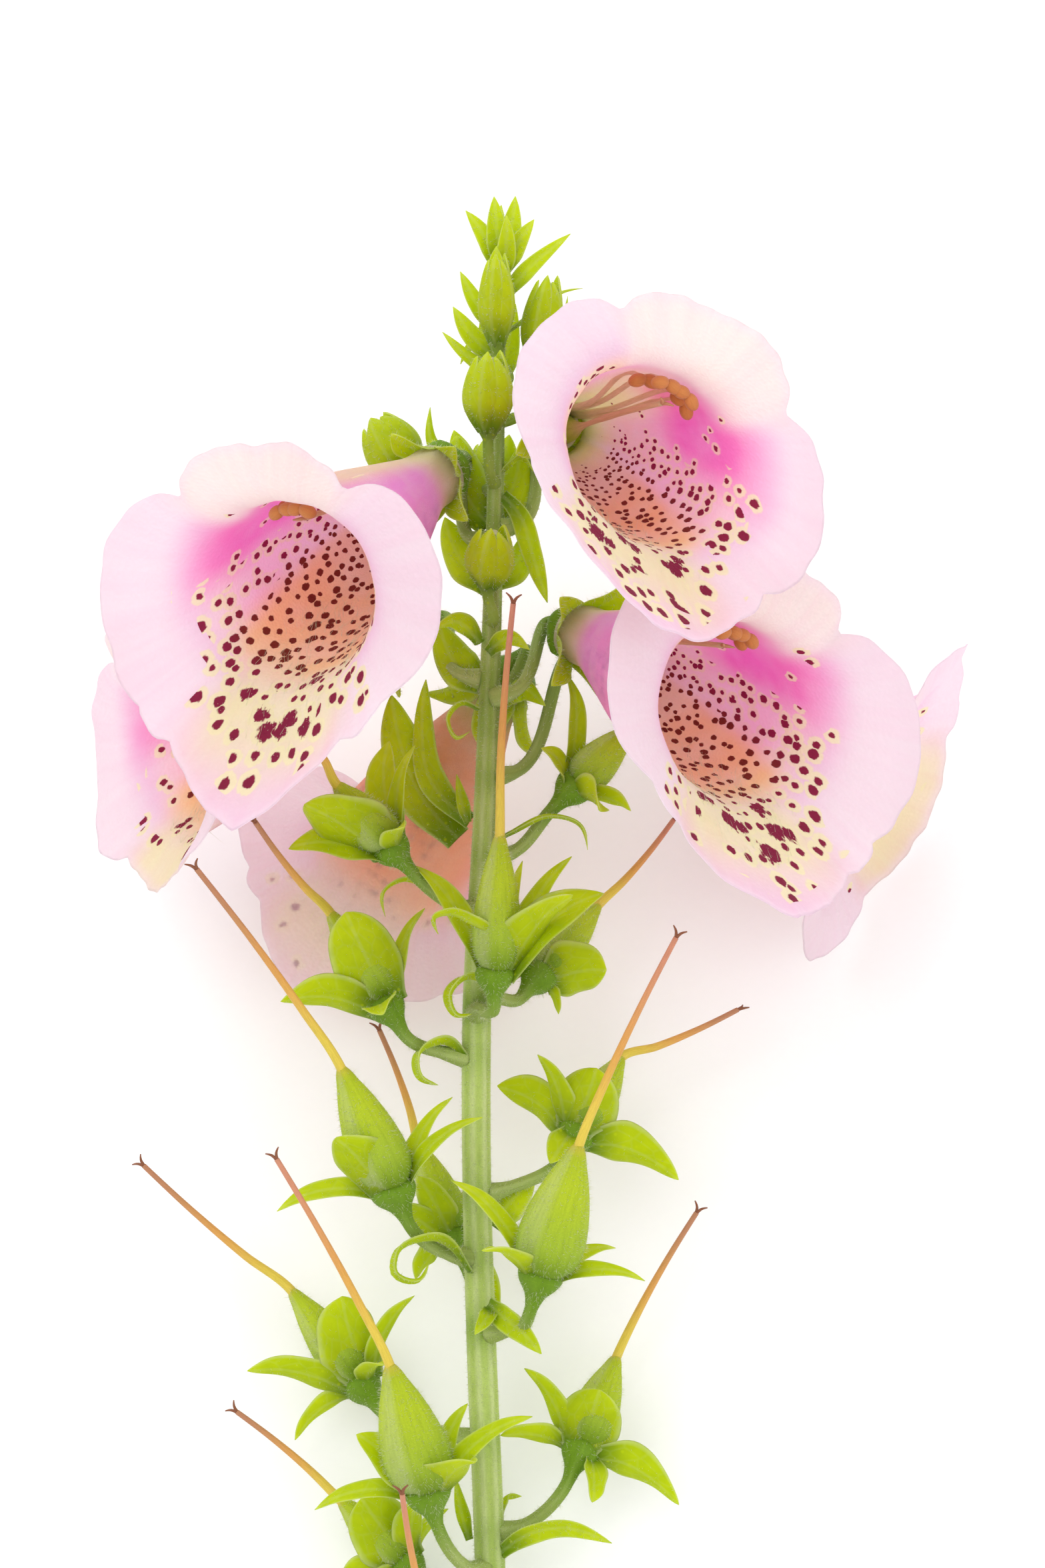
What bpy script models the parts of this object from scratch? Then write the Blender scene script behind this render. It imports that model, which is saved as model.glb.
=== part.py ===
"""A foxglove flower spike, cut from its plant and laid down on its back.

The spike is drawn in its own frame, in millimetres: x to its right, y up the stem and z out of its
front. Everything hangs on one empty, which tips the spike back until its cut end and the two bells
behind it touch the ground, and which puts the middle of its footprint at the origin.
"""

import math
from collections import namedtuple

import bmesh
import bpy
import numpy as np
from mathutils import Euler, Matrix, Vector

MM = 0.001
GAP = 0.35  # mm left between pieces that touch
LEAN = 16.08  # degrees that the stem rises from its cut end

STEM_MIDDLE = ((1.0, -24), (0.7, 0), (-0.3, 26), (-0.8, 44), (-0.8, 62), (0.1, 84), (1, 109),
               (1.4, 124), (2.0, 147))
STEM_RADIUS = (1.75, 1.7, 1.65, 1.6, 1.6, 1.3, 1.05, 0.9, 0.5)

TUBE = 32.0  # length of a bell's tube before its rim turns out
BELLY = 3.0  # how much longer the tube is along the side of its lip
THROAT = 3.1  # inner radius at the foot of the tube
WALL = 0.4
LEAF_THICKNESS = 0.9
LEAF_SINK = 0.6  # how deep a leaf's foot starts below the cup that it grows from
RIM = 6.5  # width of the turned rim between two lobes
SIDE_LOBES = (86, -86)  # where they stand round the rim, in degrees
SIDE_HALF_WIDTH = 44
LIP_HALF_WIDTH = 58

# height and bearing: where the stalk leaves the stem; 0 is the front, 90 the right, 180 the back
Bell = namedtuple("Bell", "name height bearing calyx axis down lip sides size sepal turn")
BELLS = (
    Bell("a", 115.5, -115, (-4.6, 123.3, 2), (-0.52, -0.42, 0.74), (0, -1, 0), 12, 6, 1.0, 7.5, 20),
    Bell("b", 117, 100, (7.8, 128.2, 1.5), (0.37, -0.13, 0.92), (-0.5, -0.87, 0), 12, 2.5, 1.0, 7, 54),
    Bell("c", 98, 60, (10.2, 105.5, -3), (0.57, -0.26, 0.78), (-0.26, -0.97, 0), 12, 6, 1.0, 9, 40),
    Bell("d", 100, -110, (-9.2, 105.6, -11), (-0.80, -0.40, 0.36), (0, -1, 0), 1, 5, 0.96, 8, 40),
    Bell("e", 94.5, 170, (2.6, 100.0, -10), (-0.48, -0.76, -0.43), (-0.1, 0, 1), 8, 4, 0.86, 8, 30),
    Bell("f", 89, 110, (15.8, 101.4, -11.1), (0.88, -0.44, -0.12), (0, 0, -1), 3, 3, 1.0, 8.5, 10),
)

Fruit = namedtuple("Fruit", "name height bearing calyx tip style sepal spread turn")
FRUITS = (
    Fruit("01", 62.5, 5, (1.4, 67.6, 9), (1.9, 82.3, 12.5), (3.4, 107.7, 20), 9, 36, 0),
    Fruit("02", 74, -50, (-10.5, 81.5, 7), (-16, 88, 10), (-21, 96, 17), 9, 40, 20),
    Fruit("03", 57.5, -75, (-11.0, 63.8, 3), (-17, 73.5, 2), (-25, 84, 11), 9, 40, 0),
    Fruit("04", 63.5, 150, (6.5, 66.5, -8), (13, 74, -14), (22, 84, -18), 8, 40, 30),
    Fruit("05", 80, 80, (10.5, 88.2, 1), (16.5, 94.4, 2), (22.5, 97, 0.5), 8, 40, 10),
    Fruit("06", 35, -60, (-10, 43.5, 7), (-15.4, 56.4, 10), (-30.8, 79, 20), 9, 38, 10),
    Fruit("07", 26.5, 55, (6.5, 34.4, 11), (10.4, 48.1, 14), (21.2, 71.4, 14), 8, 38, 0),
    Fruit("08", 42, 115, (10.5, 48.5, -5), (15.6, 56.5, -11), (29.4, 62, -16), 9, 42, 0),
    Fruit("09", 14.5, -100, (-14, 20.3, -4), (-21.8, 30, -8), (-39, 44.5, -9), 9, 40, 0),
    Fruit("10", 0, -35, (-6.2, 10.2, 9), (-10, 23.8, 12), (-22.6, 47, 12), 9, 36, 0),
    Fruit("11", 4, 100, (11, 13.2, -2), (15, 22.5, -7), (24.3, 39.2, -8), 9, 42, 0),
    Fruit("12", -9, -100, (-9, 0.5, -1), (-16, 7, -2.5), (-28, 17, -4), 7, 38, 0),
    Fruit("13", -21.5, -15, (-5.5, -18.5, 10), (-5.3, -5.5, 14), (-8.6, 11.5, 20), 8, 36, 0),
    Fruit("14", 27.5, 178, (-3.4, 36.5, -8), (-7.5, 46.5, -12), (-12, 60, -9), 8, 38, 0),
)

Bud = namedtuple("Bud", "name height bearing foot tip girth sepals")
BUDS = (
    Bud("1", 133, 30, (1.6, 137.5, 4.5), (1.6, 147, 6.0), 1.9, 2),
    Bud("2", 129, 100, (6.2, 135.6, 0.5), (7.4, 145, 2.5), 2.2, 2),
    Bud("3", 122, -10, (0.6, 127.8, 6.0), (0.8, 136, 8.0), 2.5, 2),
    Bud("4", 121, -150, (-8.6, 124, -7.5), (-12.6, 130, -8), 3.0, 2),
    Bud("5", 117, 165, (1.0, 120.5, -5.5), (0.6, 127.5, -8), 2.2, 2),
    Bud("6", 106.5, 5, (0.6, 110.6, 5.2), (1.2, 116.6, 8.3), 2.5, 2),
)
TIP_HEIGHT = 147.0
TIP_LEAVES = ((0, 9, 18), (75, 8, 28), (150, 7.5, 20), (215, 8, 30), (290, 8.5, 24))

GREEN = (0.30, 0.42, 0.03)
LIME = (0.48, 0.60, 0.03)
PALE_GREEN = (0.40, 0.50, 0.10)
PETAL_PINK = (0.86, 0.52, 0.66)
CREAM = (0.86, 0.72, 0.36)
ANTHER_BROWN = (0.50, 0.20, 0.08)


def material(name, colour, roughness):
    """A plain material with the piece's colour."""
    made = bpy.data.materials.new(name)
    made.use_nodes = True
    shader = made.node_tree.nodes["Principled BSDF"]
    shader.inputs["Base Color"].default_value = (*colour, 1)
    shader.inputs["Roughness"].default_value = roughness
    shader.inputs["Metallic"].default_value = 0.0
    return made


def unit(vector):
    return Vector(vector).normalized()


def pose(foot, axis, down):
    """The matrix of a frame at foot whose z is the axis and whose y is as near to down as it can be."""
    z = unit(axis)
    down = Vector(down)
    y = (down - down.dot(z) * z).normalized()
    x = y.cross(z)
    turned = Matrix((x, y, z)).transposed().to_4x4()
    turned.translation = Vector(foot) * MM
    return turned


def add_object(name, data, collection, matrix=None):
    made = bpy.data.objects.new(name, data)
    collection.objects.link(made)
    made.parent = bpy.data.objects["spike"]
    if matrix is not None:
        made.matrix_local = matrix
    return made


def add_mesh(name, mesh, collection, paint, matrix=None):
    mesh.shade_smooth()
    mesh.set_sharp_from_angle(angle=math.radians(50))
    mesh.materials.clear()
    mesh.materials.append(paint)
    return add_object(name, mesh, collection, matrix)


def stem_at(height):
    """The stem's middle and radius at a height."""
    heights = [y for _, y in STEM_MIDDLE]
    x = np.interp(height, heights, [x for x, _ in STEM_MIDDLE])
    return Vector((x, height, 0)), np.interp(height, heights, STEM_RADIUS)


def tube_curve(name, points, radii, bevel_resolution=2, steps=3):
    """A round tube along a smooth curve through the points, with its own radius at each of them."""
    curve = bpy.data.curves.new(name, "CURVE")
    curve.dimensions = "3D"
    curve.bevel_depth = MM
    curve.bevel_resolution = bevel_resolution
    curve.resolution_u = steps
    curve.use_fill_caps = True
    spline = curve.splines.new("BEZIER")
    spline.bezier_points.add(len(points) - 1)
    for bezier, point, radius in zip(spline.bezier_points, points, radii):
        bezier.co = Vector(point) * MM
        bezier.radius = radius
        bezier.handle_left_type = "AUTO"
        bezier.handle_right_type = "AUTO"
    return curve


def mesh_of(curve, name):
    """The curve as a mesh with its caps welded on, for a union; the curve itself is removed."""
    carrier = bpy.data.objects.new(name, curve)
    bpy.context.scene.collection.objects.link(carrier)
    graph = bpy.context.evaluated_depsgraph_get()
    mesh = bpy.data.meshes.new_from_object(carrier.evaluated_get(graph))
    bpy.data.objects.remove(carrier)
    bpy.data.curves.remove(curve)
    shape = bmesh.new()
    shape.from_mesh(mesh)
    bmesh.ops.remove_doubles(shape, verts=shape.verts, dist=1e-6)
    shape.to_mesh(mesh)
    shape.free()
    return mesh


def add_leaf(shape, matrix, foot_radius, bearing, length, width, spread, curl):
    """Adds one sepal or bract, in the matrix's frame: a four-sided sphere drawn out into a lens.

    Its midrib leaves the axis at the spread angle and bends by curl over its length; its edges are
    cupped towards the axis by the square of their distance from the midrib.
    """
    made = bmesh.ops.create_uvsphere(shape, u_segments=4, v_segments=4, radius=1)["verts"]
    ball = np.array([v.co for v in made])
    t = (1 + ball[:, 2]) / 2
    angle = np.radians(spread + curl * t / 2)
    across = ball[:, 0] * width / 2 * (1.1 - 0.2 * t)
    out = ball[:, 1] * LEAF_THICKNESS / 2 - 0.18 * across**2 / (width / 2)
    radial = foot_radius + length * t * np.sin(angle) + out * np.cos(angle)
    axial = length * t * np.cos(angle) - out * np.sin(angle) - LEAF_SINK
    turn = math.radians(bearing)
    x = across * math.cos(turn) + radial * math.sin(turn)
    y = -across * math.sin(turn) + radial * math.cos(turn)
    for vert, place in zip(made, np.stack([x, y, axial], axis=1) * MM):
        vert.co = matrix @ Vector(place)


def leafed(name, core, clusters, paint):
    """The core mesh with leaves joined on; a cluster is (matrix, foot radius, leaves), and a leaf is
    (bearing, length, width, spread, curl)."""
    piece = add_mesh(name, core, PARTS, paint)
    shape = bmesh.new()
    for matrix, foot_radius, leaves in clusters:
        for leaf in leaves:
            add_leaf(shape, matrix, foot_radius, *leaf)
    mesh = bpy.data.meshes.new(name + "_leaves")
    shape.to_mesh(mesh)
    shape.free()
    unite(piece, add_mesh(name + "_leaves", mesh, JOINED, paint))
    return piece


def unite(piece, other):
    """Joins other to the piece with a live Boolean union, and keeps other as a hidden helper."""
    other.hide_render = True
    other.display_type = "WIRE"
    union = piece.modifiers.new("join " + other.name, "BOOLEAN")
    union.operation = "UNION"
    union.solver = "EXACT"
    union.use_self = True
    union.object = other


def out_of_stem(bearing):
    turn = math.radians(bearing)
    return Vector((math.sin(turn), 0, math.cos(turn)))


def stalk(name, height, bearing, calyx, axis, cup_radius, sepals, bract, paint):
    """A flower stalk: its curved stalk from the stem, the cup at its end, the sepals and the bract."""
    middle, stem_radius = stem_at(height)
    out = out_of_stem(bearing)
    foot = middle + out * (stem_radius + GAP)
    calyx = Vector(calyx)
    axis = unit(axis)
    points = (foot, foot + out * 1.6 + Vector((0, 0.5, 0)), calyx - axis * 3.0, calyx - axis * 1.0, calyx)
    radii = (0.95, 0.8, 0.8, cup_radius * 0.85, cup_radius)
    core = mesh_of(tube_curve(name, points, radii, bevel_resolution=1, steps=2), name)
    clusters = [(pose(calyx, axis, (0, -1, 0.2)), cup_radius * 0.65, sepals)]
    if bract:
        clusters.append((pose(foot + out * 1.1, out, (0, -1, 0)), 0.0, [(5, *bract)]))
    leafed(name, core, clusters, paint)


def sepal_whorl(count, length, width, spread, curl, turn):
    """Leaves round an axis that are not quite alike: every other one stands wider, some are shorter."""
    return [
        (turn + 7 + i * 360 / count, length * (1 - 0.06 * (i % 3)), width, spread + 5 * (i % 2), curl)
        for i in range(count)
    ]


def smooth(x, start, end):
    t = np.clip((x - start) / (end - start), 0, 1)
    return t * t * (3 - 2 * t)


def limb_length(theta, lip, sides):
    """How far a bell's wall runs past its tube: the rim, and a rounded rise for each of its lobes."""
    length = np.full_like(theta, RIM)
    lobes = [(bearing, SIDE_HALF_WIDTH, sides) for bearing in SIDE_LOBES]
    for bearing, half_width, rise in ((0, LIP_HALF_WIDTH, lip), *lobes):
        away = (np.degrees(theta) - bearing + 180) % 360 - 180
        length += rise * np.clip(1 - (away / half_width) ** 2, 0, None) ** 0.7
    return length


def bell_wall(lip, sides, size, around=16, along=8, fine=8):
    """The inner surface of a bell, an open grid of (around) by (along + 1) points.

    The wall leaves its foot along the axis, opens by about 19 degrees, runs nearly straight, and
    then turns out to 34 degrees at the lip, 65 at the sides and 96 at the top. It widens more at the
    sides. The radius is the running sum of the sine of that angle, and the height that of its cosine.
    """
    theta = np.linspace(0, 2 * np.pi, around, endpoint=False)[:, None]
    tube = TUBE + BELLY * np.cos(theta)
    length = tube + limb_length(theta, lip, sides)
    s = length * np.linspace(0, 1, along * fine + 1)
    widening = np.sin(theta) ** 2
    opening = (19 + 4 * np.cos(theta)) * smooth(s, 1.5, 6) * (1 - (0.72 - 0.3 * widening) * smooth(s, 15, 24))
    flare = 65 - 31 * np.cos(theta)
    angle = np.radians(opening + (flare - opening) * smooth(s, tube - 2 - 4 * widening, tube + 5))
    step = length / (along * fine)
    radius = THROAT + np.cumsum(np.sin(angle), axis=1) * step
    height = np.cumsum(np.cos(angle), axis=1) * step
    radius = np.hstack([np.full_like(theta, THROAT), radius[:, fine - 1:-1:fine]]) * size
    height = np.hstack([np.zeros_like(theta), height[:, fine - 1:-1:fine]]) * size
    return np.stack([radius * np.sin(theta), radius * np.cos(theta), height], axis=2)


def corolla(name, foot, axis, down, lip, sides, size):
    """A bell: the wall as an open grid, given its thickness outwards."""
    grid = bell_wall(lip, sides, size) * MM
    around, rings = grid.shape[:2]
    faces = [
        (i * rings + j, ((i + 1) % around) * rings + j, ((i + 1) % around) * rings + j + 1, i * rings + j + 1)
        for i in range(around)
        for j in range(rings - 1)
    ]
    mesh = bpy.data.meshes.new(name)
    mesh.from_pydata(grid.reshape(-1, 3).tolist(), [], faces)
    piece = add_mesh(name, mesh, PARTS, PETAL, pose(foot, axis, down))
    wall = piece.modifiers.new("wall", "SOLIDIFY")
    wall.thickness = WALL * MM
    wall.offset = -1
    return piece


def stamens(name, foot, axis, down, size):
    """Four stamens on one ring: a long pair and a short pair that arch under the bell's upper wall."""
    bpy.ops.mesh.primitive_torus_add(
        major_radius=2.42 * size * MM, minor_radius=0.27 * MM, major_segments=10, minor_segments=4
    )
    ring = bpy.context.object.data
    bpy.data.objects.remove(bpy.context.object)
    matrix = pose(foot, axis, down)
    matrix.translation += unit(axis) * 0.9 * MM
    piece = add_mesh(name, ring, PARTS, CREAM_FLESH, matrix)
    for bearing, reach, lift in ((155, 21, 4.6), (205, 21, 4.6), (128, 16.5, 4.4), (232, 16.5, 4.4)):
        turn = math.radians(bearing)
        side = Vector((math.sin(turn), math.cos(turn), 0))
        up = Vector((0, 0, 1))
        end = (side * lift + up * reach) * size
        points = (side * 2.42 * size, (side * 2.5 + up * 3) * size, (side * 3.4 + up * 9) * size, end)
        thread = mesh_of(tube_curve(name, points, (0.25, 0.32, 0.32, 0.3), 0, 1), name + "_thread")
        shape = bmesh.new()
        shape.from_mesh(thread)
        knob = bmesh.ops.create_uvsphere(shape, u_segments=5, v_segments=4, radius=1)["verts"]
        bmesh.ops.scale(shape, vec=Vector((1.5, 0.85, 0.75)) * MM, verts=knob)
        bmesh.ops.rotate(shape, matrix=Matrix.Rotation(-turn, 3, "Z"), verts=knob)
        bmesh.ops.translate(shape, vec=end * MM, verts=knob)
        shape.to_mesh(thread)
        shape.free()
        helper = add_mesh(f"{name}_thread_{bearing}", thread, JOINED, ANTHER, matrix)
        unite(piece, helper)
    return piece


def pistil(name, foot, axis, down, size):
    """The ovary on the calyx's floor, with its style under the bell's upper wall."""
    points = [(0, 0, 0), (0, 0, 1.5), (0, 0, 4.5), (0, -0.6, 7), (0, -2.2, 13), (0, -4.6, 25)]
    radii = (1.3, 1.7, 1.35, 0.5, 0.38, 0.3)
    curve = tube_curve(name, [Vector(p) * size for p in points], [r * size for r in radii], 1, 1)
    curve.materials.append(LIME_SKIN)
    return add_object(name, curve, PARTS, pose(foot, axis, down))


def flower(bell):
    calyx = Vector(bell.calyx)
    axis = unit(bell.axis)
    name = "flower_" + bell.name
    sepals = sepal_whorl(5, bell.sepal, 4.4, 58, -34, bell.turn)
    stalk(name + "_stalk", bell.height, bell.bearing, calyx, axis, 3.4, sepals, None, GREEN_SKIN)
    corolla(name + "_corolla", calyx + axis * (GAP + 0.6), axis, bell.down, bell.lip, bell.sides, bell.size)
    stamens(name + "_stamens", calyx + axis * GAP, axis, bell.down, bell.size)
    pistil(name + "_pistil", calyx + axis * GAP, axis, bell.down, bell.size)


def fruit(spec):
    """A spent flower: its stalk and calyx, and the ripening capsule with its long style."""
    calyx = Vector(spec.calyx)
    tip = Vector(spec.tip)
    style = Vector(spec.style)
    axis = (tip - calyx).normalized()
    name = "fruit_" + spec.name
    sepals = sepal_whorl(5, spec.sepal, 4.4, spec.spread, -14, spec.turn)
    stalk(name + "_stalk", spec.height, spec.bearing, calyx, axis, 2.1, sepals,
          (7.5, 2.2, 25, 30), GREEN_SKIN)
    foot = calyx + axis * GAP
    reach = tip - foot
    points = (foot, foot + reach * 0.25, foot + reach * 0.6, foot + reach * 0.9, tip + reach * 0.12,
              (tip + reach * 0.12) * 0.45 + style * 0.55, style)
    radii = (1.6, 2.8, 2.4, 1.0, 0.5, 0.36, 0.4)
    curve = tube_curve(name + "_capsule", points, radii, 1, 2)
    curve.materials.append(LIME_SKIN)
    add_object(name + "_capsule", curve, PARTS)


def bud(spec):
    """A closed bud on its stalk, with sepals that stand close around it."""
    foot = Vector(spec.foot)
    tip = Vector(spec.tip)
    axis = (tip - foot).normalized()
    length = (tip - foot).length
    name = "bud_" + spec.name
    middle, stem_radius = stem_at(spec.height)
    out = out_of_stem(spec.bearing)
    start = middle + out * (stem_radius + GAP)
    points = (start, start + out * 1.2 + Vector((0, 0.6, 0)), foot - axis * 0.8, foot + axis * length * 0.4,
              foot + axis * length * 0.8, tip)
    radii = (0.7, 0.6, 0.9, spec.girth, spec.girth * 0.75, spec.girth * 0.3)
    leaves = [(90 + 180 * i, length * 1.05, spec.girth * 1.5, 24, -32) for i in range(spec.sepals)]
    core = mesh_of(tube_curve(name, points, radii, bevel_resolution=1, steps=2), name)
    leafed(name, core, [(pose(foot, axis, (0, 0, 1)), 0.3, leaves)], LIME_SKIN)


def spike_tip():
    """The tuft of unopened bracts that ends the spike."""
    middle, _ = stem_at(TIP_HEIGHT)
    foot = middle + Vector((0, GAP, 0))
    points = (foot, foot + Vector((0, 2.5, 0)), foot + Vector((0.3, 6.2, 0)))
    core = mesh_of(tube_curve("spike_tip", points, (0.6, 1.3, 0.5), 1, 2), "spike_tip")
    leaves = [(bearing, length, 2.6, spread, -25) for bearing, length, spread in TIP_LEAVES]
    leafed("spike_tip", core, [(pose(foot + Vector((0, 1, 0)), (0, 1, 0), (0, 0, 1)), 0.5, leaves)], LIME_SKIN)


def stem():
    points = [(x, y, 0) for x, y in STEM_MIDDLE]
    curve = tube_curve("stem", points, STEM_RADIUS, bevel_resolution=2, steps=2)
    curve.materials.append(STEM_SKIN)
    add_object("stem", curve, PARTS)


def lay_down():
    """Tips the spike back by its lean, and puts the bottom centre of its bounding box at the origin."""
    spike = bpy.data.objects["spike"]
    spike.rotation_euler = Euler((math.radians(LEAN), 0, 0))
    bpy.context.view_layer.update()
    graph = bpy.context.evaluated_depsgraph_get()
    corners = []
    for piece in PARTS.objects:
        evaluated = piece.evaluated_get(graph)
        mesh = evaluated.to_mesh()
        places = np.empty(len(mesh.vertices) * 3, np.float32)
        mesh.vertices.foreach_get("co", places)
        world = np.array(evaluated.matrix_world)
        places = places.reshape(-1, 3) @ world[:3, :3].T + world[:3, 3]
        corners += [places.min(axis=0), places.max(axis=0)]
        evaluated.to_mesh_clear()
    low = np.min(corners, axis=0)
    high = np.max(corners, axis=0)
    spike.location = (-(low[0] + high[0]) / 2, -(low[1] + high[1]) / 2, -low[2])


for leftover in list(bpy.data.objects):
    bpy.data.objects.remove(leftover)

PARTS = bpy.data.collections.new("foxglove_flower_spike")
JOINED = bpy.data.collections.new("joined_shapes")
bpy.context.scene.collection.children.link(PARTS)
bpy.context.scene.collection.children.link(JOINED)
bpy.context.scene.collection.objects.link(bpy.data.objects.new("spike", None))

STEM_SKIN = material("stem skin", PALE_GREEN, 0.5)
GREEN_SKIN = material("sepal and stalk skin", GREEN, 0.5)
LIME_SKIN = material("capsule skin", LIME, 0.45)
PETAL = material("petal", PETAL_PINK, 0.45)
CREAM_FLESH = material("stamen ring", CREAM, 0.5)
ANTHER = material("stamen", ANTHER_BROWN, 0.6)

stem()
for one in BELLS:
    flower(one)
for one in FRUITS:
    fruit(one)
for one in BUDS:
    bud(one)
spike_tip()
lay_down()
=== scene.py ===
"""The looks of a foxglove flower spike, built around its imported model.

The spike is drawn in its own frame, in millimetres: x to its right, y up the stem and z out of its
front. Every surface is a function of two parameters on a numpy grid, or a profile carried along a
path; add_piece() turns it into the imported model's frame and makes it a mesh.
"""

import math
from collections import namedtuple

import bpy
import numpy as np
from mathutils import Matrix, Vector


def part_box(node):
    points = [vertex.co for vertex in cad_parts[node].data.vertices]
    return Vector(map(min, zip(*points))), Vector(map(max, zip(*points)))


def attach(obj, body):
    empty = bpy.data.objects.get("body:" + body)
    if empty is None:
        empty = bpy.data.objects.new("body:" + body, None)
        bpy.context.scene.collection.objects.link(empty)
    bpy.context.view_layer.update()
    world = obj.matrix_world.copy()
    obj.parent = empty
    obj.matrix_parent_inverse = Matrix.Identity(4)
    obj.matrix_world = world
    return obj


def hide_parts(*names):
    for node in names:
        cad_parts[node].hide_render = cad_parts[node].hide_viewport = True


bl_info = {
    "name": "Foxglove flower spike",
    "version": (1, 0, 0),
    "blender": (4, 5, 0),
    "location": "3D View > Sidebar > Foxglove",
    "description": "Builds the petals, calyces, capsules, buds and stage of a foxglove flower spike",
    "category": "Add Mesh",
}

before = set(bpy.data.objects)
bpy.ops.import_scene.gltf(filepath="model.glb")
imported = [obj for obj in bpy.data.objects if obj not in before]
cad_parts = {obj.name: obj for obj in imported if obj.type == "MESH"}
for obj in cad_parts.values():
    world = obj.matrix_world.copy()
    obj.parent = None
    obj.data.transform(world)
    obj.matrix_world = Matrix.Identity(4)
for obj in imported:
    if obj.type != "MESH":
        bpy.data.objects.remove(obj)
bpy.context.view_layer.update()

MM = 0.001
LEAN = math.radians(16.08)  # the stem rises by this from its cut end
TO_ROW = np.array([[1, 0, 0], [0, math.cos(LEAN), -math.sin(LEAN)], [0, math.sin(LEAN), math.cos(LEAN)]])

STEM_MIDDLE = ((1.0, -24), (0.7, 0), (-0.3, 26), (-0.8, 44), (-0.8, 62), (0.1, 84), (1, 109),
               (1.4, 124), (2.0, 147))
STEM_FOOT, STEM_TOP = STEM_MIDDLE[0][1], STEM_MIDDLE[-1][1]
STEM_RADIUS = (1.75, 1.7, 1.65, 1.6, 1.6, 1.3, 1.05, 0.9, 0.5)

TUBE = 32.0  # length of a bell's tube before its rim turns out
BELLY = 3.0  # how much longer the tube is along the side of its lip
OPEN_TUBE = 19  # how far a bell's wall leans out from its axis, in degrees
THROAT = 3.1  # inner radius at the foot of the tube
RIM = 6.5  # width of the turned rim between two lobes
SIDE_LOBES = (86, -86)  # where they stand round the rim, in degrees
SIDE_HALF_WIDTH = 44
LIP_HALF_WIDTH = 58
HOOD_HALF_WIDTH = 46  # of the upper lobe
HOOD_RISE = 1.8
INNER_ROWS = 104  # places along a bell's wall, from its foot to its rim
PATTERN_RADIUS = 10.0  # where the bell is this wide, in mm, its spots are drawn at their real size

# height and bearing: where the stalk leaves the stem; 0 is the front, 90 the right, 180 the back.
# calyx: the foot of the bell, whose axis runs to its mouth and whose lip is on the side of down.
# lip and sides: how far those lobes stand out past the rim. sepal and turn: the calyx's sepals, how
# long they are and how far they are turned round it, in degrees. stem_side is +1 or -1, the way
# round the bell to the stem. The last field is the share of painted shade on its outside, an
# orange-pink tint for a bell that lies behind the stem, which also thins its spots.
Bell = namedtuple("Bell", "name height bearing calyx axis down lip sides size sepal turn stem_side warm")
BELLS = (
    Bell("a", 115.5, -115, (-4.6, 123.3, 2), (-0.52, -0.42, 0.74), (0, -1, 0), 12, 6, 1.0, 7.5, 20, -1, 0),
    Bell("b", 117, 100, (7.8, 128.2, 1.5), (0.37, -0.13, 0.92), (-0.5, -0.87, 0), 12, 2.5, 1.0, 7, 54, 1, 0),
    Bell("c", 98, 60, (10.2, 105.5, -3), (0.57, -0.26, 0.78), (-0.26, -0.97, 0), 12, 6, 1.0, 9, 40, 1, 0),
    Bell("d", 100, -110, (-9.2, 105.6, -11), (-0.80, -0.40, 0.36), (0, -1, 0), 1, 5, 0.96, 8, 40, -1, 0.15),
    Bell("e", 94.5, 170, (2.6, 100.0, -10), (-0.48, -0.76, -0.43), (-0.1, 0, 1), 8, 4, 0.86, 8, 30, -1, 1),
    Bell("f", 89, 110, (15.8, 101.4, -11.1), (0.88, -0.44, -0.12), (0, 0, -1), 3, 3, 1.0, 8.5, 10, 1, 0.25),
)

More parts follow.
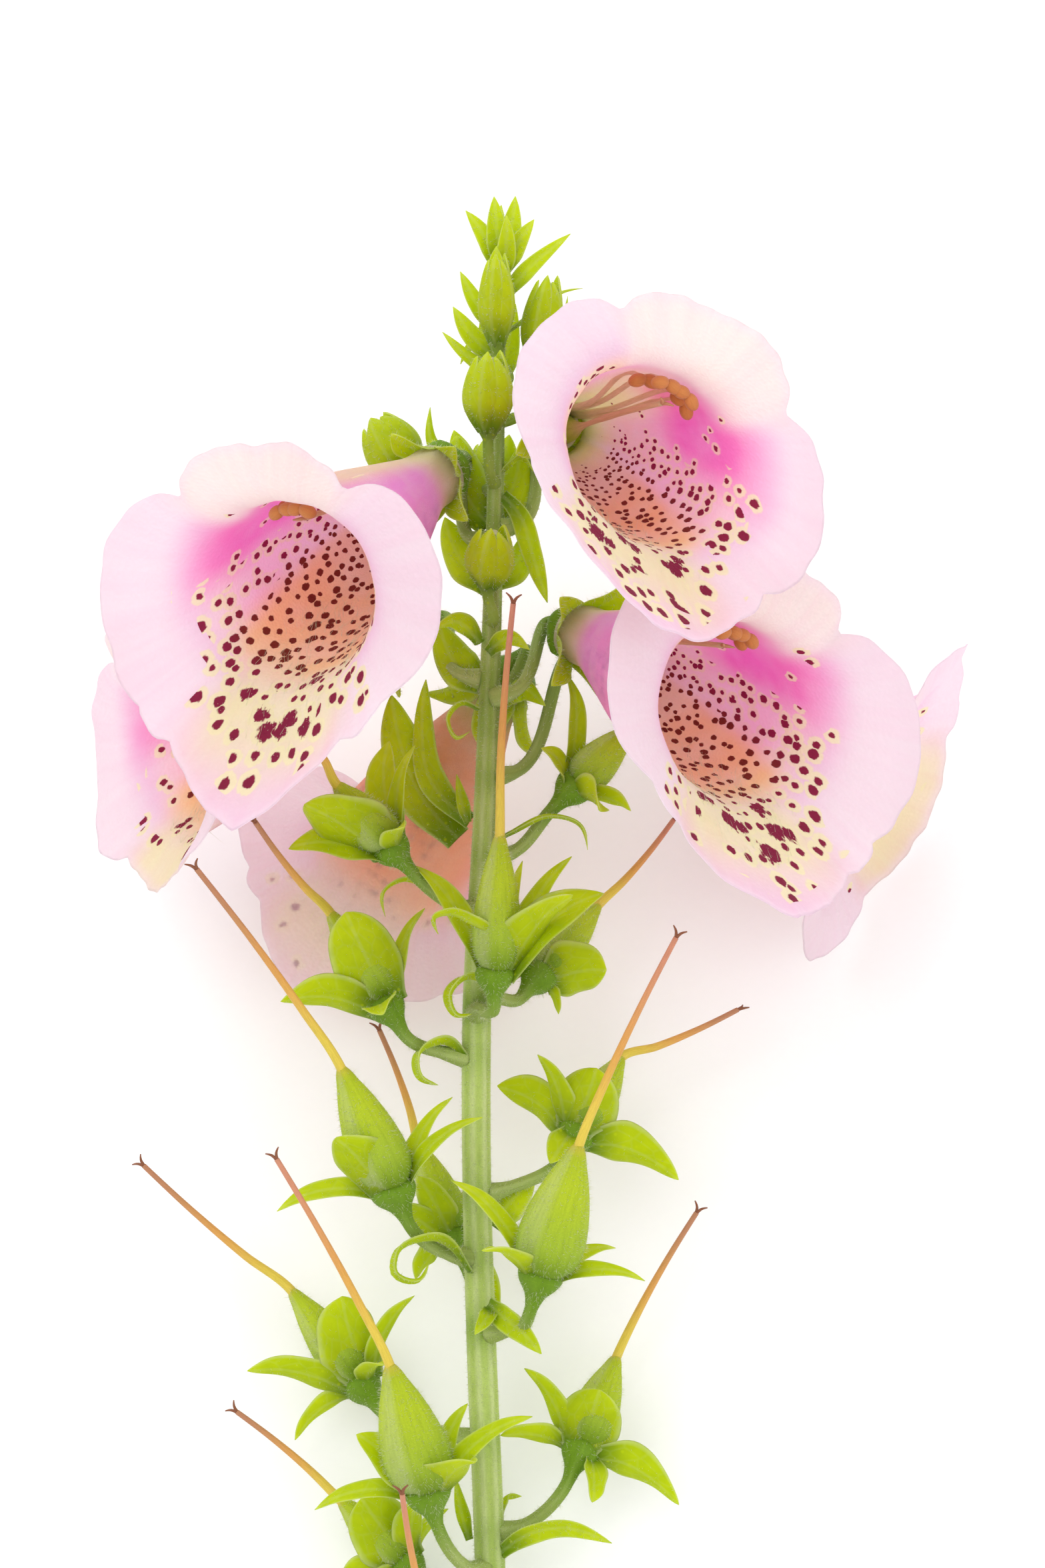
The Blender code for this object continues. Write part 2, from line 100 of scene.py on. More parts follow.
# girth: the capsule's widest radius. sepals: each one's reach from the calyx to its tip, its width,
# and how blunt it is, from about 1.4, drawn to a point, to 3, round. style: the end of the style.
Fruit = namedtuple("Fruit", "name height bearing calyx tip style girth sepals")
FRUITS = (
    Fruit("01", 62.5, 5, (1.4, 67.6, 9), (1.9, 82.3, 12.5), (3.4, 107.7, 20), 2.7,
          ((-9, 11.5, -4, 3.6, 1.8), (8.5, 8.5, 6, 6.5, 2.2), (12, 8.5, 0, 6.5, 2.2),
           (8.5, 12.5, -5, 3.2, 1.6), (3, 12, -5, 2.4, 1.5))),
    Fruit("02", 74, -50, (-10.5, 81.5, 7), (-16, 88, 10), (-21, 96, 17), 2.6,
          ((0, 11.5, -4, 5.2, 1.8), (-9, 4.5, 6, 8.5, 3), (-11, -0.5, 1, 5.2, 2), (3, 11, 0, 2.6, 1.5),
           (2, 2, 7, 4, 2))),
    Fruit("03", 57.5, -75, (-11.0, 63.8, 3), (-17, 73.5, 2), (-25, 84, 11), 2.6,
          ((-4.2, 10.2, 4, 8.2, 3), (-11.5, 0.2, 3, 6.2, 1.9), (4.4, 10.4, -4, 3.2, 1.5),
           (1, 4, -8, 4, 2), (0, -1, 7, 4.5, 2.4))),
    Fruit("04", 63.5, 150, (6.5, 66.5, -8), (13, 74, -14), (22, 84, -18), 2.5,
          ((7.5, 0.5, 1, 7.5, 3), (1.5, 5, -5, 5, 2), (2, -4.5, 2, 1.8, 1.5), (-5, -1, 3, 4, 2),
           (3.5, -2.5, -6, 5, 2.4))),
    Fruit("05", 80, 80, (10.5, 88.2, 1), (16.5, 94.4, 2), (22.5, 97, 0.5), 2.5,
          ((-1.2, 12.5, -1, 3.4, 1.6), (-4, 4, 3, 3.4, 1.6), (6, -3, 3, 3.4, 1.8), (2.5, -3, 7, 5, 2.2),
           (1, 1.5, -7, 5, 2))),
    Fruit("06", 35, -60, (-10, 43.5, 7), (-15.4, 56.4, 10), (-30.8, 79, 20), 3.3,
          ((-6, 6, 6, 7.2, 2.6), (6.6, 9.8, -2, 2.8, 1.5), (10, 8, 4, 2.6, 1.6), (-13, -3, -3, 3.2, 1.7),
           (-2, 7, -7, 4.5, 2))),
    Fruit("07", 26.5, 55, (6.5, 34.4, 11), (10.4, 48.1, 14), (21.2, 71.4, 14), 3.8,
          ((-10, 10, -2, 2.9, 1.8), (-6.5, 3.3, 8, 3.6, 2), (11.4, -1, -1, 2.4, 1.6),
           (8.3, 2, -7, 2.2, 1.6), (1, 8, -8, 4, 2))),
    Fruit("08", 42, 115, (10.5, 48.5, -5), (15.6, 56.5, -11), (29.4, 62, -16), 2.7,
          ((2.3, 7.5, 1, 7.8, 3), (-4.4, 9, 1, 3.4, 1.5), (-9, 5.2, -3, 5.6, 2.6), (11.6, -5.2, 1, 6.2, 1.5),
           (-3, -3, 5, 4, 2))),
    Fruit("09", 14.5, -100, (-14, 20.3, -4), (-21.8, 30, -8), (-39, 44.5, -9), 2.7,
          ((-2, 10, 1.5, 8.2, 3), (-12.7, 1.6, 2, 4.4, 2), (-7.5, -6.8, -2, 3, 1.9), (6.2, 10.1, 2, 3, 1.5),
           (3, 3, 7, 3.5, 2))),
    Fruit("10", 0, -35, (-6.2, 10.2, 9), (-10, 23.8, 12), (-22.6, 47, 12), 3.8,
          ((5.4, 4.1, 6.5, 6.8, 2.4), (-7.8, 6, -1, 4.8, 3), (11.7, 8.4, 2, 3.2, 1.8),
           (4.5, 9, -4, 3.2, 1.7), (-12.5, -2.7, -3, 3, 1.6))),
    Fruit("11", 4, 100, (11, 13.2, -2), (15, 22.5, -7), (24.3, 39.2, -8), 2.9,
          ((2.1, 6.8, 1.5, 7.6, 3), (-6.4, 9, 0, 3.6, 1.6), (-9.1, 1.4, 0, 3, 2.6), (11, -6.1, 2, 5.8, 1.5),
           (1.2, -5.5, 4, 4, 2))),
    Fruit("12", -9, -100, (-9, 0.5, -1), (-16, 7, -2.5), (-28, 17, -4), 2.6,
          ((-4.7, 7.6, 2.5, 8, 3), (-7.1, -1.5, 0, 5, 2), (5, 5.5, -3, 3, 1.6), (2, 8, 3, 4.5, 2),
           (-4, -5, 3, 4.5, 2))),
    Fruit("13", -21.5, -15, (-5.5, -18.5, 10), (-5.3, -5.5, 14), (-8.6, 11.5, 20), 2.8,
          ((-6, 7, 0, 5, 2), (6, 6, -2, 4, 1.8), (0, 4, 6, 6.5, 2.4), (-7, 0, -2, 4, 1.7),
           (4, -2, -6, 4, 1.8))),
    Fruit("14", 27.5, 178, (-3.4, 36.5, -8), (-7.5, 46.5, -12), (-12, 60, -9), 2.6,
          ((-4, 7.3, 5, 4.4, 1.8), (-7.2, 3.3, 4, 4.2, 2), (-4.4, -4.5, 3, 4.2, 2), (5.2, -8.2, 3, 3.6, 2),
           (3, 6, -4, 4.4, 2))),
)

Bud = namedtuple("Bud", "name height bearing foot tip girth")
BUDS = (
    Bud("1", 133, 30, (1.6, 137.5, 4.5), (1.6, 147, 6.0), 1.9),
    Bud("2", 129, 100, (6.2, 135.6, 0.5), (7.4, 145, 2.5), 2.2),
    Bud("3", 122, -10, (0.6, 127.8, 6.0), (0.8, 136, 8.0), 2.7),
    Bud("4", 121, -150, (-8.6, 124, -7.5), (-12.6, 130, -8), 3.2),
    Bud("5", 117, 165, (1.0, 120.5, -5.5), (0.6, 127.5, -8), 2.6),
    Bud("6", 106.5, 5, (0.6, 110.6, 5.2), (1.2, 116.6, 8.3), 2.6),
)

# bracts that stand off their stalks: the points that each midrib passes, the direction that its
# blade is wide in, its width and how blunt its tip is
Bract = namedtuple("Bract", "points across width blunt")
BRACTS = (
    Bract(((3.7, 70.1, 11), (-0.8, 72.9, 12), (-3.5, 74.0, 11), (-5.3, 73.4, 10), (-4.9, 71.6, 9)),
          (0.2, 0.5, 0.8), 2.0, 2),
    Bract(((1.6, 81.9, 1.4), (3.0, 82.7, 2), (7.4, 84.7, 2), (11.0, 83.5, 2), (11.7, 80.8, 2)),
          (0.1, 0.3, 1), 1.5, 2),
    Bract(((0.8, 63.0, 2), (0.4, 66.0, 5), (-2.0, 66.6, 6.4), (-3.6, 64.8, 6.4), (-2.8, 62.6, 6),
          (-1.2, 62.6, 5.4)),
          (0.2, 0.2, 1), 3.6, 2.6),
    Bract(((-0.6, 96.6, 1.6), (-2.6, 97.1, 3), (-3.9, 95.4, 3), (-2.9, 93.4, 3), (-1.5, 94.1, 2.6)),
          (0.1, 0.2, 1), 1.6, 2),
    Bract(((-2.6, 72.6, 0.6), (-6.0, 76.2, 0), (-9.0, 77.4, 1), (-11.2, 76.1, 1), (-11.0, 73.3, 1)),
          (0.2, 0.3, 1), 1.7, 2),
    Bract(((-1.8, 83.9, -2), (-2.6, 86.8, -4), (-3.1, 89.3, -5)), (1, 0.2, 0.3), 1.7, 1.6),
    Bract(((-1.6, 33.6, 2), (-5.9, 37.6, 6), (-9.4, 36.3, 7), (-9.6, 34.0, 7), (-7.2, 33.2, 7),
          (-6.0, 35.0, 6)),
          (0.15, 0.25, 1), 3.0, 2.4),
    Bract(((-2.0, 57.4, 0.6), (-4.6, 59.2, 2.4), (-7.2, 58.0, 3.6), (-6.9, 55.6, 4), (-5.0, 54.6, 4)),
          (0.3, 0.3, 1), 3.0, 2),
    Bract(((1.0, 38.4, -1), (3.4, 41.4, -2), (5.8, 43.6, -4)), (0.7, -0.6, 0.3), 4.2, 2),
    Bract(((0.7, 30.0, 2.5), (3.0, 28.4, 6), (4.8, 27.2, 8), (6.5, 25.1, 8)), (0.5, 0.7, 0.3), 3.0, 2.6),
    Bract(((0.6, 29.4, 2.5), (0.4, 28.6, 5), (-0.9, 27.1, 7)), (0.7, -0.3, 0.4), 2.2, 2),
    Bract(((1.9, 1.8, 0.6), (5.2, 4.3, 2.4), (9.2, 5.1, 3), (14.4, 3.3, 3)), (0.1, 0.9, 0.4), 2.8, 2),
    Bract(((1.9, 5.2, -1.2), (2.8, 7.6, -3), (4.3, 7.6, -3)), (0.5, 0.6, 0.5), 1.6, 2),
    Bract(((-1.6, 3.0, -1), (-2.6, 6.5, -2), (-3.2, 9.7, -3)), (1, 0.2, 0.3), 1.8, 1.7),
    Bract(((1.6, 122.6, 0.4), (2.7, 124.2, 0), (4.2, 125.1, 0), (5.6, 123.4, 0)), (0.1, 0.5, 0.9), 1.5, 2),
    Bract(((2.2, 120.6, 0.5), (3.9, 118.8, 1), (5.6, 113.9, 1), (7.2, 108.6, 0)), (0.9, 0.4, 0.3), 2.8, 2),
    Bract(((2.4, 138.8, 0), (6.6, 142.2, -2), (8.7, 143.7, -2), (11.2, 144.2, -2)), (0.1, 0.5, 0.9),
          1.1, 1.5),
    Bract(((7.4, 138.4, -1), (8.9, 140.6, -2), (9.5, 143.3, -2)), (0.8, -0.2, 0.5), 1.0, 1.5),
    Bract(((0.4, 120.6, -2), (-3.4, 124.0, -5), (-5.9, 127.0, -5), (-6.1, 131.0, -5)), (0.9, 0.3, 0.2),
          2.4, 1.5),
    Bract(((-0.6, 119.0, -3), (-2.2, 123.6, -5), (-3.4, 128.4, -5)), (0.9, 0.3, 0.3), 4.2, 2.4),
    Bract(((0.8, 120.0, -3), (2.0, 124.0, -5), (2.9, 127.9, -5)), (0.9, -0.3, 0.3), 4.0, 2.4),
    Bract(((-3.0, 82.0, -7), (-7.4, 87.2, -8), (-9.6, 93.0, -8), (-10.6, 98.4, -8)), (0.9, 0.3, 0.1),
          6.0, 2.6),
    Bract(((-1.6, 84.0, -4), (-6.2, 89.0, -6), (-7.0, 95.0, -6), (-6.6, 100.1, -6)), (0.9, 0.1, 0.3),
          3.6, 2),
    Bract(((0.6, 117.4, -1), (-2.2, 121.6, -2), (-3.0, 127.6, -2)), (0.9, 0.4, 0.3), 6.0, 2.6),
    Bract(((0.8, 117.8, -1), (3.2, 121.4, -2), (4.2, 126.6, -3)), (0.9, -0.4, 0.3), 4.6, 2.2),
    Bract(((0.4, 110.4, -1), (-2.6, 113.6, -2), (-4.4, 118.4, -3)), (0.9, 0.4, 0.3), 4.6, 2.2),
    Bract(((1.0, 110.8, -1), (3.6, 113.0, -1), (5.0, 117.0, -2)), (0.9, -0.4, 0.3), 4.0, 2),
    Bract(((0.2, 99.4, -1), (-3.0, 101.6, -2), (-5.0, 106.4, -3)), (0.9, 0.4, 0.2), 5.0, 2.4),
    Bract(((1.2, 97.0, -1), (4.6, 99.0, -2), (7.0, 97.0, -1)), (0.2, 0.8, 0.4), 3.4, 1.8),
    Bract(((0.6, 103.0, 1.2), (3.2, 104.6, 3), (5.2, 103.2, 4)), (0.2, 0.8, 0.4), 2.4, 1.8),
    Bract(((-0.4, 104.0, 1.2), (-3.2, 106.4, 3), (-5.4, 105.4, 4)), (0.2, 0.8, 0.4), 2.6, 1.8),
)

# the foot, middle and tip of each bract that closes the tip of the spike, and its width
TIP_BRACTS = (
    ((1.9, 145.6, 0.3), (0.2, 149.6, 0.4), (-2.0, 152.7, 0), 2.6),
    ((2.0, 146.0, 0.4), (1.5, 150.4, 1.0), (1.2, 154.2, 0.6), 3.0),
    ((2.1, 146.0, 0.3), (3.1, 150.6, -0.2), (3.6, 154.4, -0.6), 3.0),
    ((2.2, 145.6, 0.2), (3.9, 149.0, 0.2), (5.7, 151.7, 0), 2.6),
    ((2.0, 145.2, -0.2), (1.6, 149.6, -1.4), (2.0, 153.6, -2), 2.8),
    ((2.0, 145.0, 0.6), (2.6, 148.6, 2.2), (2.6, 151.8, 3), 2.6),
    ((2.0, 142.6, 0.2), (5.4, 146.4, 0.4), (9.8, 150.1, 0), 2.2),
    ((1.6, 139.0, 0.2), (-0.8, 142.2, 0.8), (-2.6, 145.8, 0.4), 2.4),
    ((1.4, 136.0, 0.2), (-1.4, 138.6, 1.0), (-3.4, 141.8, 0.8), 2.8),
    ((1.4, 134.0, 0.2), (-1.8, 136.2, 0.8), (-4.6, 139.0, 0.4), 1.7),
    ((1.4, 137.6, -0.4), (-1.0, 138.0, -1.6), (-2.6, 135.6, -2), 1.4),
    ((1.8, 140.6, 0.8), (1.4, 144.6, 2.8), (1.5, 148.4, 2.6), 3.4),
    ((1.6, 131.0, -0.8), (0.6, 136.0, -3.0), (-0.4, 140.6, -3), 3.4),
    ((1.7, 133.0, -0.8), (2.8, 138.0, -3.4), (3.6, 142.6, -3.4), 3.2),
)


def hex_colour(code):
    """An sRGB hex colour as three linear values."""
    value = np.array([int(code[i:i + 2], 16) for i in (0, 2, 4)]) / 255
    return tuple(np.where(value <= 0.04045, value / 12.92, ((value + 0.055) / 1.055) ** 2.4))


def colour_property(name, description, code):
    """A colour of the add-on, with its default as sRGB hex."""
    return bpy.props.FloatVectorProperty(
        name=name, description=description, subtype="COLOR", size=3, min=0, max=1, default=hex_colour(code)
    )


def length_property(name, description, millimetres):
    """A length of the add-on, kept in metres."""
    return bpy.props.FloatProperty(
        name=name, description=description, unit="LENGTH", min=0, precision=5, default=millimetres * MM
    )


class FOXGLOVE_PG_petals(bpy.types.PropertyGroup):
    """Sizes and colours of the bells."""

    wall: length_property("Petal thickness", "Thickness of a bell's wall in its tube", 0.35)
    spot_spacing: length_property("Spot spacing", "From one small spot to the next, at the mouth", 1.5)
    blotch_spacing: length_property("Blotch spacing", "From one large blotch to the next, on the lip", 2.55)
    rim: colour_property("Rim", "Pale edge of the lobes", "F8EEF3")
    lilac: colour_property("Lilac", "Band where the rim turns out, and the end of the lip", "F3CFE9")
    # painted light: the deep pink of the inner wall away from the stem, a glow of the light from behind
    backlit_flank: colour_property("Flank", "Deep pink inside, on the side away from the stem", "FA8CD0")
    blush: colour_property("Blush", "Pink ground inside the tube", "FEEAE6")
    # painted shade: the orange of the inner wall on the stem's side, where the stem keeps the light from
    # behind off it
    throat: colour_property("Throat", "Inner wall on the stem's side", "FDE498")
    cream: colour_property("Cream", "Ground of the lip, and the halo round a spot", "F7F4C8")
    hood: colour_property("Hood", "Inside of the upper lobe", "FBF7EC")
    outside: colour_property("Outside", "Outer skin of the bell", "F7B0F8")
    # painted shade: the orange-pink outside of a bell that lies behind the stem
    stem_shade_salmon: colour_property("Salmon", "Outer skin of a bell that lies in the shade of the stem", "FBCBA6")
    maroon: colour_property("Blotches", "Spots and blotches on the lip", "8E2446")
    brown: colour_property("Throat spots", "Spots on the orange wall", "7A3424")


class FOXGLOVE_PG_greens(bpy.types.PropertyGroup):
    """Colours of the green parts, and their down."""

    # lime and tip are partly the leaf's own colour and partly a painted glow of light through it; shade is
    # partly its own deep green and partly painted shade
    lime: colour_property("Lime", "Blade of a young sepal", "C6D806")
    tip: colour_property("Leaf tip", "Thin outer end of a sepal, where light comes through", "DAE60E")
    shade: colour_property("Leaf foot", "Thick foot of a sepal and the cup of the calyx", "6C930A")
    edge: colour_property("Leaf edge", "Downy edge of a sepal", "E3EBA8")
    stem: colour_property("Stem", "Skin of the stem between its ribs", "B9CE6C")
    rib: colour_property("Stem rib", "Raised ribs of the stem", "D8E2A4")
    capsule: colour_property("Capsule", "Skin of a ripening capsule", "B4CE3A")
    style_foot: colour_property("Style foot", "Lower end of a style", "ECD458")
    style_end: colour_property("Style end", "Drying upper end of a style", "C98F6C")
    down: length_property("Down", "Length of the hairs on stalks, calyces and capsules", 0.55)


class FOXGLOVE_PG_stage(bpy.types.PropertyGroup):
    """The floor, lights and camera."""

    floor: colour_property("Floor", "Matt board under the spike", "FCFCFC")
    distance: length_property("Camera distance", "From the stem to the camera", 500)
    view_height: length_property("View height", "How much of the stem the view takes in", 176.4)
    world: bpy.props.FloatProperty(
        name="Room light", description="Strength of the even light", min=0, default=1.0
    )
    key: bpy.props.FloatProperty(
        name="Key light", description="Power of the large soft light", subtype="POWER", min=0, default=2.2
    )


# ---------------------------------------------------------------- shapes


def unit(vector):
    """The vector, or each row, over its length."""
    vector = np.asarray(vector, float)
    return vector / np.linalg.norm(vector, axis=-1, keepdims=True)


def smooth(x, start, end):
    """0 before start, 1 after end, and 3t^2 - 2t^3 between them."""
    t = np.clip((x - start) / (end - start), 0, 1)
    return t * t * (3 - 2 * t)


def bump(x, middle, width):
    """A round bump of height 1: exp(-((x - middle) / width)^2)."""
    return np.exp(-(((x - middle) / width) ** 2))


def blend(colours, other, share):
    """The colours, moved towards the other colour by a share at each point."""
    share = np.asarray(share)[..., None]
    return colours * (1 - share) + np.asarray(other, float) * share


def ground(colour, like):
    """The one colour at every point of a grid."""
    return np.broadcast_to(np.asarray(colour, float), like.shape + (3,))


def even(colour):
    """A tube's colours where it has only one."""
    return lambda share, angle: ground(colour, share)


def curve(points, count):
    """A smooth curve through the points, as count places evenly spaced by the length of its chords.

    Between two points it is the cubic with their tangents; a tangent is the mean of the slopes on
    both sides, each weighted by the other chord's length. Columns after the third, such as a radius,
    go along with the first three.
    """
    points = np.asarray(points, float)
    step = np.linalg.norm(np.diff(points[:, :3], axis=0), axis=1)[:, None]
    slope = np.diff(points, axis=0) / step
    inner = (slope[:-1] * step[1:] + slope[1:] * step[:-1]) / (step[:-1] + step[1:])
    tangent = np.vstack([1.5 * slope[:1] - 0.5 * inner[:1], inner, 1.5 * slope[-1:] - 0.5 * inner[-1:]])
    at = np.append(0, np.cumsum(step))
    s = np.linspace(0, at[-1], count)
    i = np.clip(np.searchsorted(at, s, side="right") - 1, 0, len(step) - 1)
    f = ((s - at[i]) / step[i, 0])[:, None]
    return (
        (1 + 2 * f) * (1 - f) ** 2 * points[i]
        + f * (1 - f) ** 2 * step[i] * tangent[i]
        + f * f * (3 - 2 * f) * points[i + 1]
        + f * f * (f - 1) * step[i] * tangent[i + 1]
    )


def across_path(path, side):
    """Two directions square to the path at each place: as near to side as can be, and across that."""
    tangent = unit(np.gradient(path, axis=0))
    side = np.broadcast_to(np.asarray(side, float), path.shape)
    side = unit(side - (side * tangent).sum(axis=1, keepdims=True) * tangent)
    return side, np.cross(tangent, side)


def path_length(path):
    """How far along the path each place lies: the running sum of its steps."""
    return np.append(0, np.cumsum(np.linalg.norm(np.diff(path, axis=0), axis=1)))


# faces as rows of point numbers, their corners' places in the pattern, and each point's colours
Shell = namedtuple("Shell", "points quads triangles uv_quads uv_triangles tint marks")


def skin(grid, uv, tint, marks=None, ring=False):
    """A closed surface from a grid of (n, m) places that is closed around its second axis.

    Its ends are closed by a fan to their middle, or it is a ring whose last row joins its first. uv
    has one more column than the grid, so that the pattern runs on over the join.
    """
    n, m = grid.shape[:2]
    rows = np.arange(n if ring else n - 1)[:, None]
    columns = np.arange(m)
    here = rows * m
    above = (rows + 1) % n * m
    right = (columns + 1) % m
    quads = np.stack([here + columns, here + right, above + right, above + columns], axis=2).reshape(-1, 4)
    up = (rows + 1) % n
    uv_quads = np.stack(
        [uv[rows, columns], uv[rows, columns + 1], uv[up, columns + 1], uv[up, columns]], axis=2
    )
    points = grid.reshape(-1, 3)
    tint = tint.reshape(-1, 3)
    marks = np.zeros_like(tint) if marks is None else marks.reshape(-1, 3)
    triangles = np.empty((0, 3), int)
    uv_triangles = np.empty((0, 3, 2))
    if not ring:
        last = (n - 1) * m
        points = np.vstack([points, grid[0].mean(axis=0), grid[-1].mean(axis=0)])
        tint = np.vstack([tint, tint[:m].mean(axis=0), tint[last:].mean(axis=0)])
        marks = np.vstack([marks, marks[:m].mean(axis=0), marks[last:].mean(axis=0)])
        foot = np.stack([right, columns, np.full(m, n * m)], axis=1)
        top = np.stack([last + columns, last + right, np.full(m, n * m + 1)], axis=1)
        triangles = np.vstack([foot, top])
        uv_foot = np.stack([uv[0, 1:], uv[0, :-1], (uv[0, 1:] + uv[0, :-1]) / 2], axis=1)
        uv_top = np.stack([uv[-1, :-1], uv[-1, 1:], (uv[-1, 1:] + uv[-1, :-1]) / 2], axis=1)
        uv_triangles = np.vstack([uv_foot, uv_top])
    uv_quads = uv_quads.reshape(-1, 4, 2)
    corners = np.vstack([points[quads[:, [0, 1, 2]]], points[quads[:, [0, 2, 3]]], points[triangles]])
    corners = corners - points.mean(axis=0)
    if np.einsum("ij,ij->", corners[:, 0], np.cross(corners[:, 1], corners[:, 2])) < 0:
        quads, uv_quads = quads[:, ::-1], uv_quads[:, ::-1]
        triangles, uv_triangles = triangles[:, ::-1], uv_triangles[:, ::-1]
    return Shell(points, quads, triangles, uv_quads, uv_triangles, tint, marks)


def joined(shells):
    """Several shells as one."""
    starts = np.cumsum([0] + [len(shell.points) for shell in shells[:-1]])
    fields = {field: np.vstack([getattr(shell, field) for shell in shells]) for field in Shell._fields}
    for field in ("quads", "triangles"):
        fields[field] = np.vstack([getattr(shell, field) + start for shell, start in zip(shells, starts)])
    return Shell(**fields)


def tube(points, side, count, around, tint, section=None, pattern_radius=None):
    """A sweep along the curve through the points, whose fourth column is the radius.

    section gives the share of the radius that the outline reaches at each angle; without it the
    outline is round. tint gives the colours from the share of the length and the angle, both as
    grids. The pattern is as wide as a circle of pattern_radius, or of the mean radius.
    """
    line = curve(points, count)
    smallest = min(point[3] for point in points)  # the curve's radius may not swing below it
    path, radius = line[:, :3], np.maximum(line[:, 3], smallest)[:, None]
    side, normal = across_path(path, side)
    angle = np.linspace(0, 2 * np.pi, around, endpoint=False)
    reach = radius * (section(angle) if section else np.ones_like(angle))
    grid = path[:, None] + (reach * np.cos(angle))[..., None] * side[:, None]
    grid = grid + (reach * np.sin(angle))[..., None] * normal[:, None]
    turn = (pattern_radius or radius.mean()) * np.linspace(0, 2 * np.pi, around + 1)
    uv = np.stack(np.broadcast_arrays(turn, path_length(path)[:, None]), axis=2)
    share, angle = np.meshgrid(np.linspace(0, 1, count), angle, indexing="ij")
    return skin(grid, uv, tint(share, angle))


def blade(points, side, width, blunt, tint, cup=0.16, count=26, wave=0.25):
    """A sepal or bract: a thin lens-shaped section swept along its midrib.

    Its width grows from 0.55 to 1 of the whole over the first 40% and is multiplied by
    (1 - t^(1.5 blunt))^0.85, which closes it at the tip, where t is 1. Its edges are cupped by the
    square of their distance from the midrib and waved by a sine.
    """
    path = curve(points, count)
    side, normal = across_path(path, side)
    t = np.linspace(0, 1, count)[:, None]
    angle = np.linspace(0, 2 * np.pi, 20, endpoint=False)
    half = width / 2 * (0.55 + 0.45 * smooth(t, 0, 0.4)) * np.clip(1 - t ** (1.5 * blunt), 0, 1) ** 0.85
    half = np.maximum(half, 0.05)
    thickness = 0.34
    out_to_edge = np.cos(angle)
    across = half * out_to_edge
    groove = 0.25 * thickness * bump(out_to_edge, 0, 0.16) * (1 - t)
    out = np.sin(angle) * np.minimum(thickness, half) / 2 - np.abs(groove)
    out = out + cup * half * out_to_edge**2 * 2
    out = out + wave * half / 2 * out_to_edge**2 * np.sin(9 * t + 2.2 * np.sign(out_to_edge) + width)
    grid = path[:, None] + across[..., None] * side[:, None] + out[..., None] * normal[:, None]
    edge = np.append(out_to_edge, 1.0)
    uv = np.stack(np.broadcast_arrays(half * edge, path_length(path)[:, None]), axis=2)
    share, edge = np.broadcast_arrays(t, np.abs(out_to_edge))
    return skin(grid, uv, tint(share, edge))


def ball(middle, axis, side, radii, around, rows, tint):
    """An ellipsoid with one axis along axis: half its length is radii[0], and it is radii[1] by
    radii[2] across."""
    axis = unit(axis)
    side = unit(np.asarray(side, float) - np.dot(side, axis) * axis)
    other = np.cross(axis, side)
    down = np.linspace(0.12, np.pi - 0.12, rows)[:, None]
    angle = np.linspace(0, 2 * np.pi, around, endpoint=False)
    along = radii[0] * np.cos(down) * np.ones_like(angle)
    grid = np.asarray(middle, float) + along[..., None] * axis
    grid = grid + (radii[1] * np.sin(down) * np.cos(angle))[..., None] * side
    grid = grid + (radii[2] * np.sin(down) * np.sin(angle))[..., None] * other
    turn = np.linspace(0, 2 * np.pi, around + 1)
    uv = np.stack(np.broadcast_arrays(turn * radii[1], down * radii[0]), axis=2)
    return skin(grid, uv, ground(tint, along))


def hairs(shells, per_mm2, length, seed, thickness=0.03, stray=0.35, lean=(0, 0, 0)):
    """Hairs on the shells' faces: each a slim three-sided pyramid.

    Their feet are spread evenly by area. A hair points along the face's normal, plus lean, plus a
    random vector of the size of stray, and is 0.5 to 1.3 of the length long.
    """
    rng = np.random.default_rng(seed)
    corners = np.concatenate([s.points[s.quads[:, [0, 1, 2, 0, 2, 3]]].reshape(-1, 3, 3) for s in shells])
    cross = np.cross(corners[:, 1] - corners[:, 0], corners[:, 2] - corners[:, 0])
    area = np.linalg.norm(cross, axis=1) / 2
    count = int(area.sum() * per_mm2)
    pick = rng.choice(len(area), count, p=area / area.sum())
    share = rng.dirichlet((1, 1, 1), count)
    foot = (corners[pick] * share[..., None]).sum(axis=1)
    direction = unit(unit(cross[pick]) + rng.normal(scale=stray, size=(count, 3)) + np.asarray(lean, float))
    side = unit(np.cross(direction, rng.normal(size=(count, 3))))
    other = np.cross(direction, side)
    tip = foot + direction * (length * rng.uniform(0.5, 1.3, count))[:, None]
    turns = np.radians((0, 120, 240))
    base = foot[:, None] - direction[:, None] * 0.05
    base = base + thickness * (
        np.cos(turns)[:, None] * side[:, None] + np.sin(turns)[:, None] * other[:, None]
    )
    points = np.concatenate([base, tip[:, None]], axis=1).reshape(-1, 3)
    faces = np.array([[0, 1, 3], [1, 2, 3], [2, 0, 3], [0, 2, 1]])
    triangles = (4 * np.arange(count)[:, None, None] + faces).reshape(-1, 3)
    empty = np.empty((0, 4), int)
    return Shell(points, empty, triangles, np.empty((0, 4, 2)), np.zeros((len(triangles), 3, 2)),
                 np.ones_like(points), np.zeros_like(points))


# ---------------------------------------------------------------- pieces


def stem_points():
    """The stem's middle line, with its radius in the fourth column."""
    return np.array([(x, y, 0, radius) for (x, y), radius in zip(STEM_MIDDLE, STEM_RADIUS)])


def row_offset():
    """Where the spike frame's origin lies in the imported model: it puts the plain stem on its node."""
    turned = tube(stem_points(), (1, 0, 0), 200, 16, even((1, 1, 1))).points @ TO_ROW.T
    low, high = (np.array(corner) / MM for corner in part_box("stem"))
    return (low + high - turned.min(axis=0) - turned.max(axis=0)) / 2


OFFSET = row_offset()
VIEW_MIDDLE = (4.4, 88.2)  # where the camera looks at the spike, square to the stem
FLOOR_CLEARANCE = 0.02  # mm; nothing reaches below this over the floor


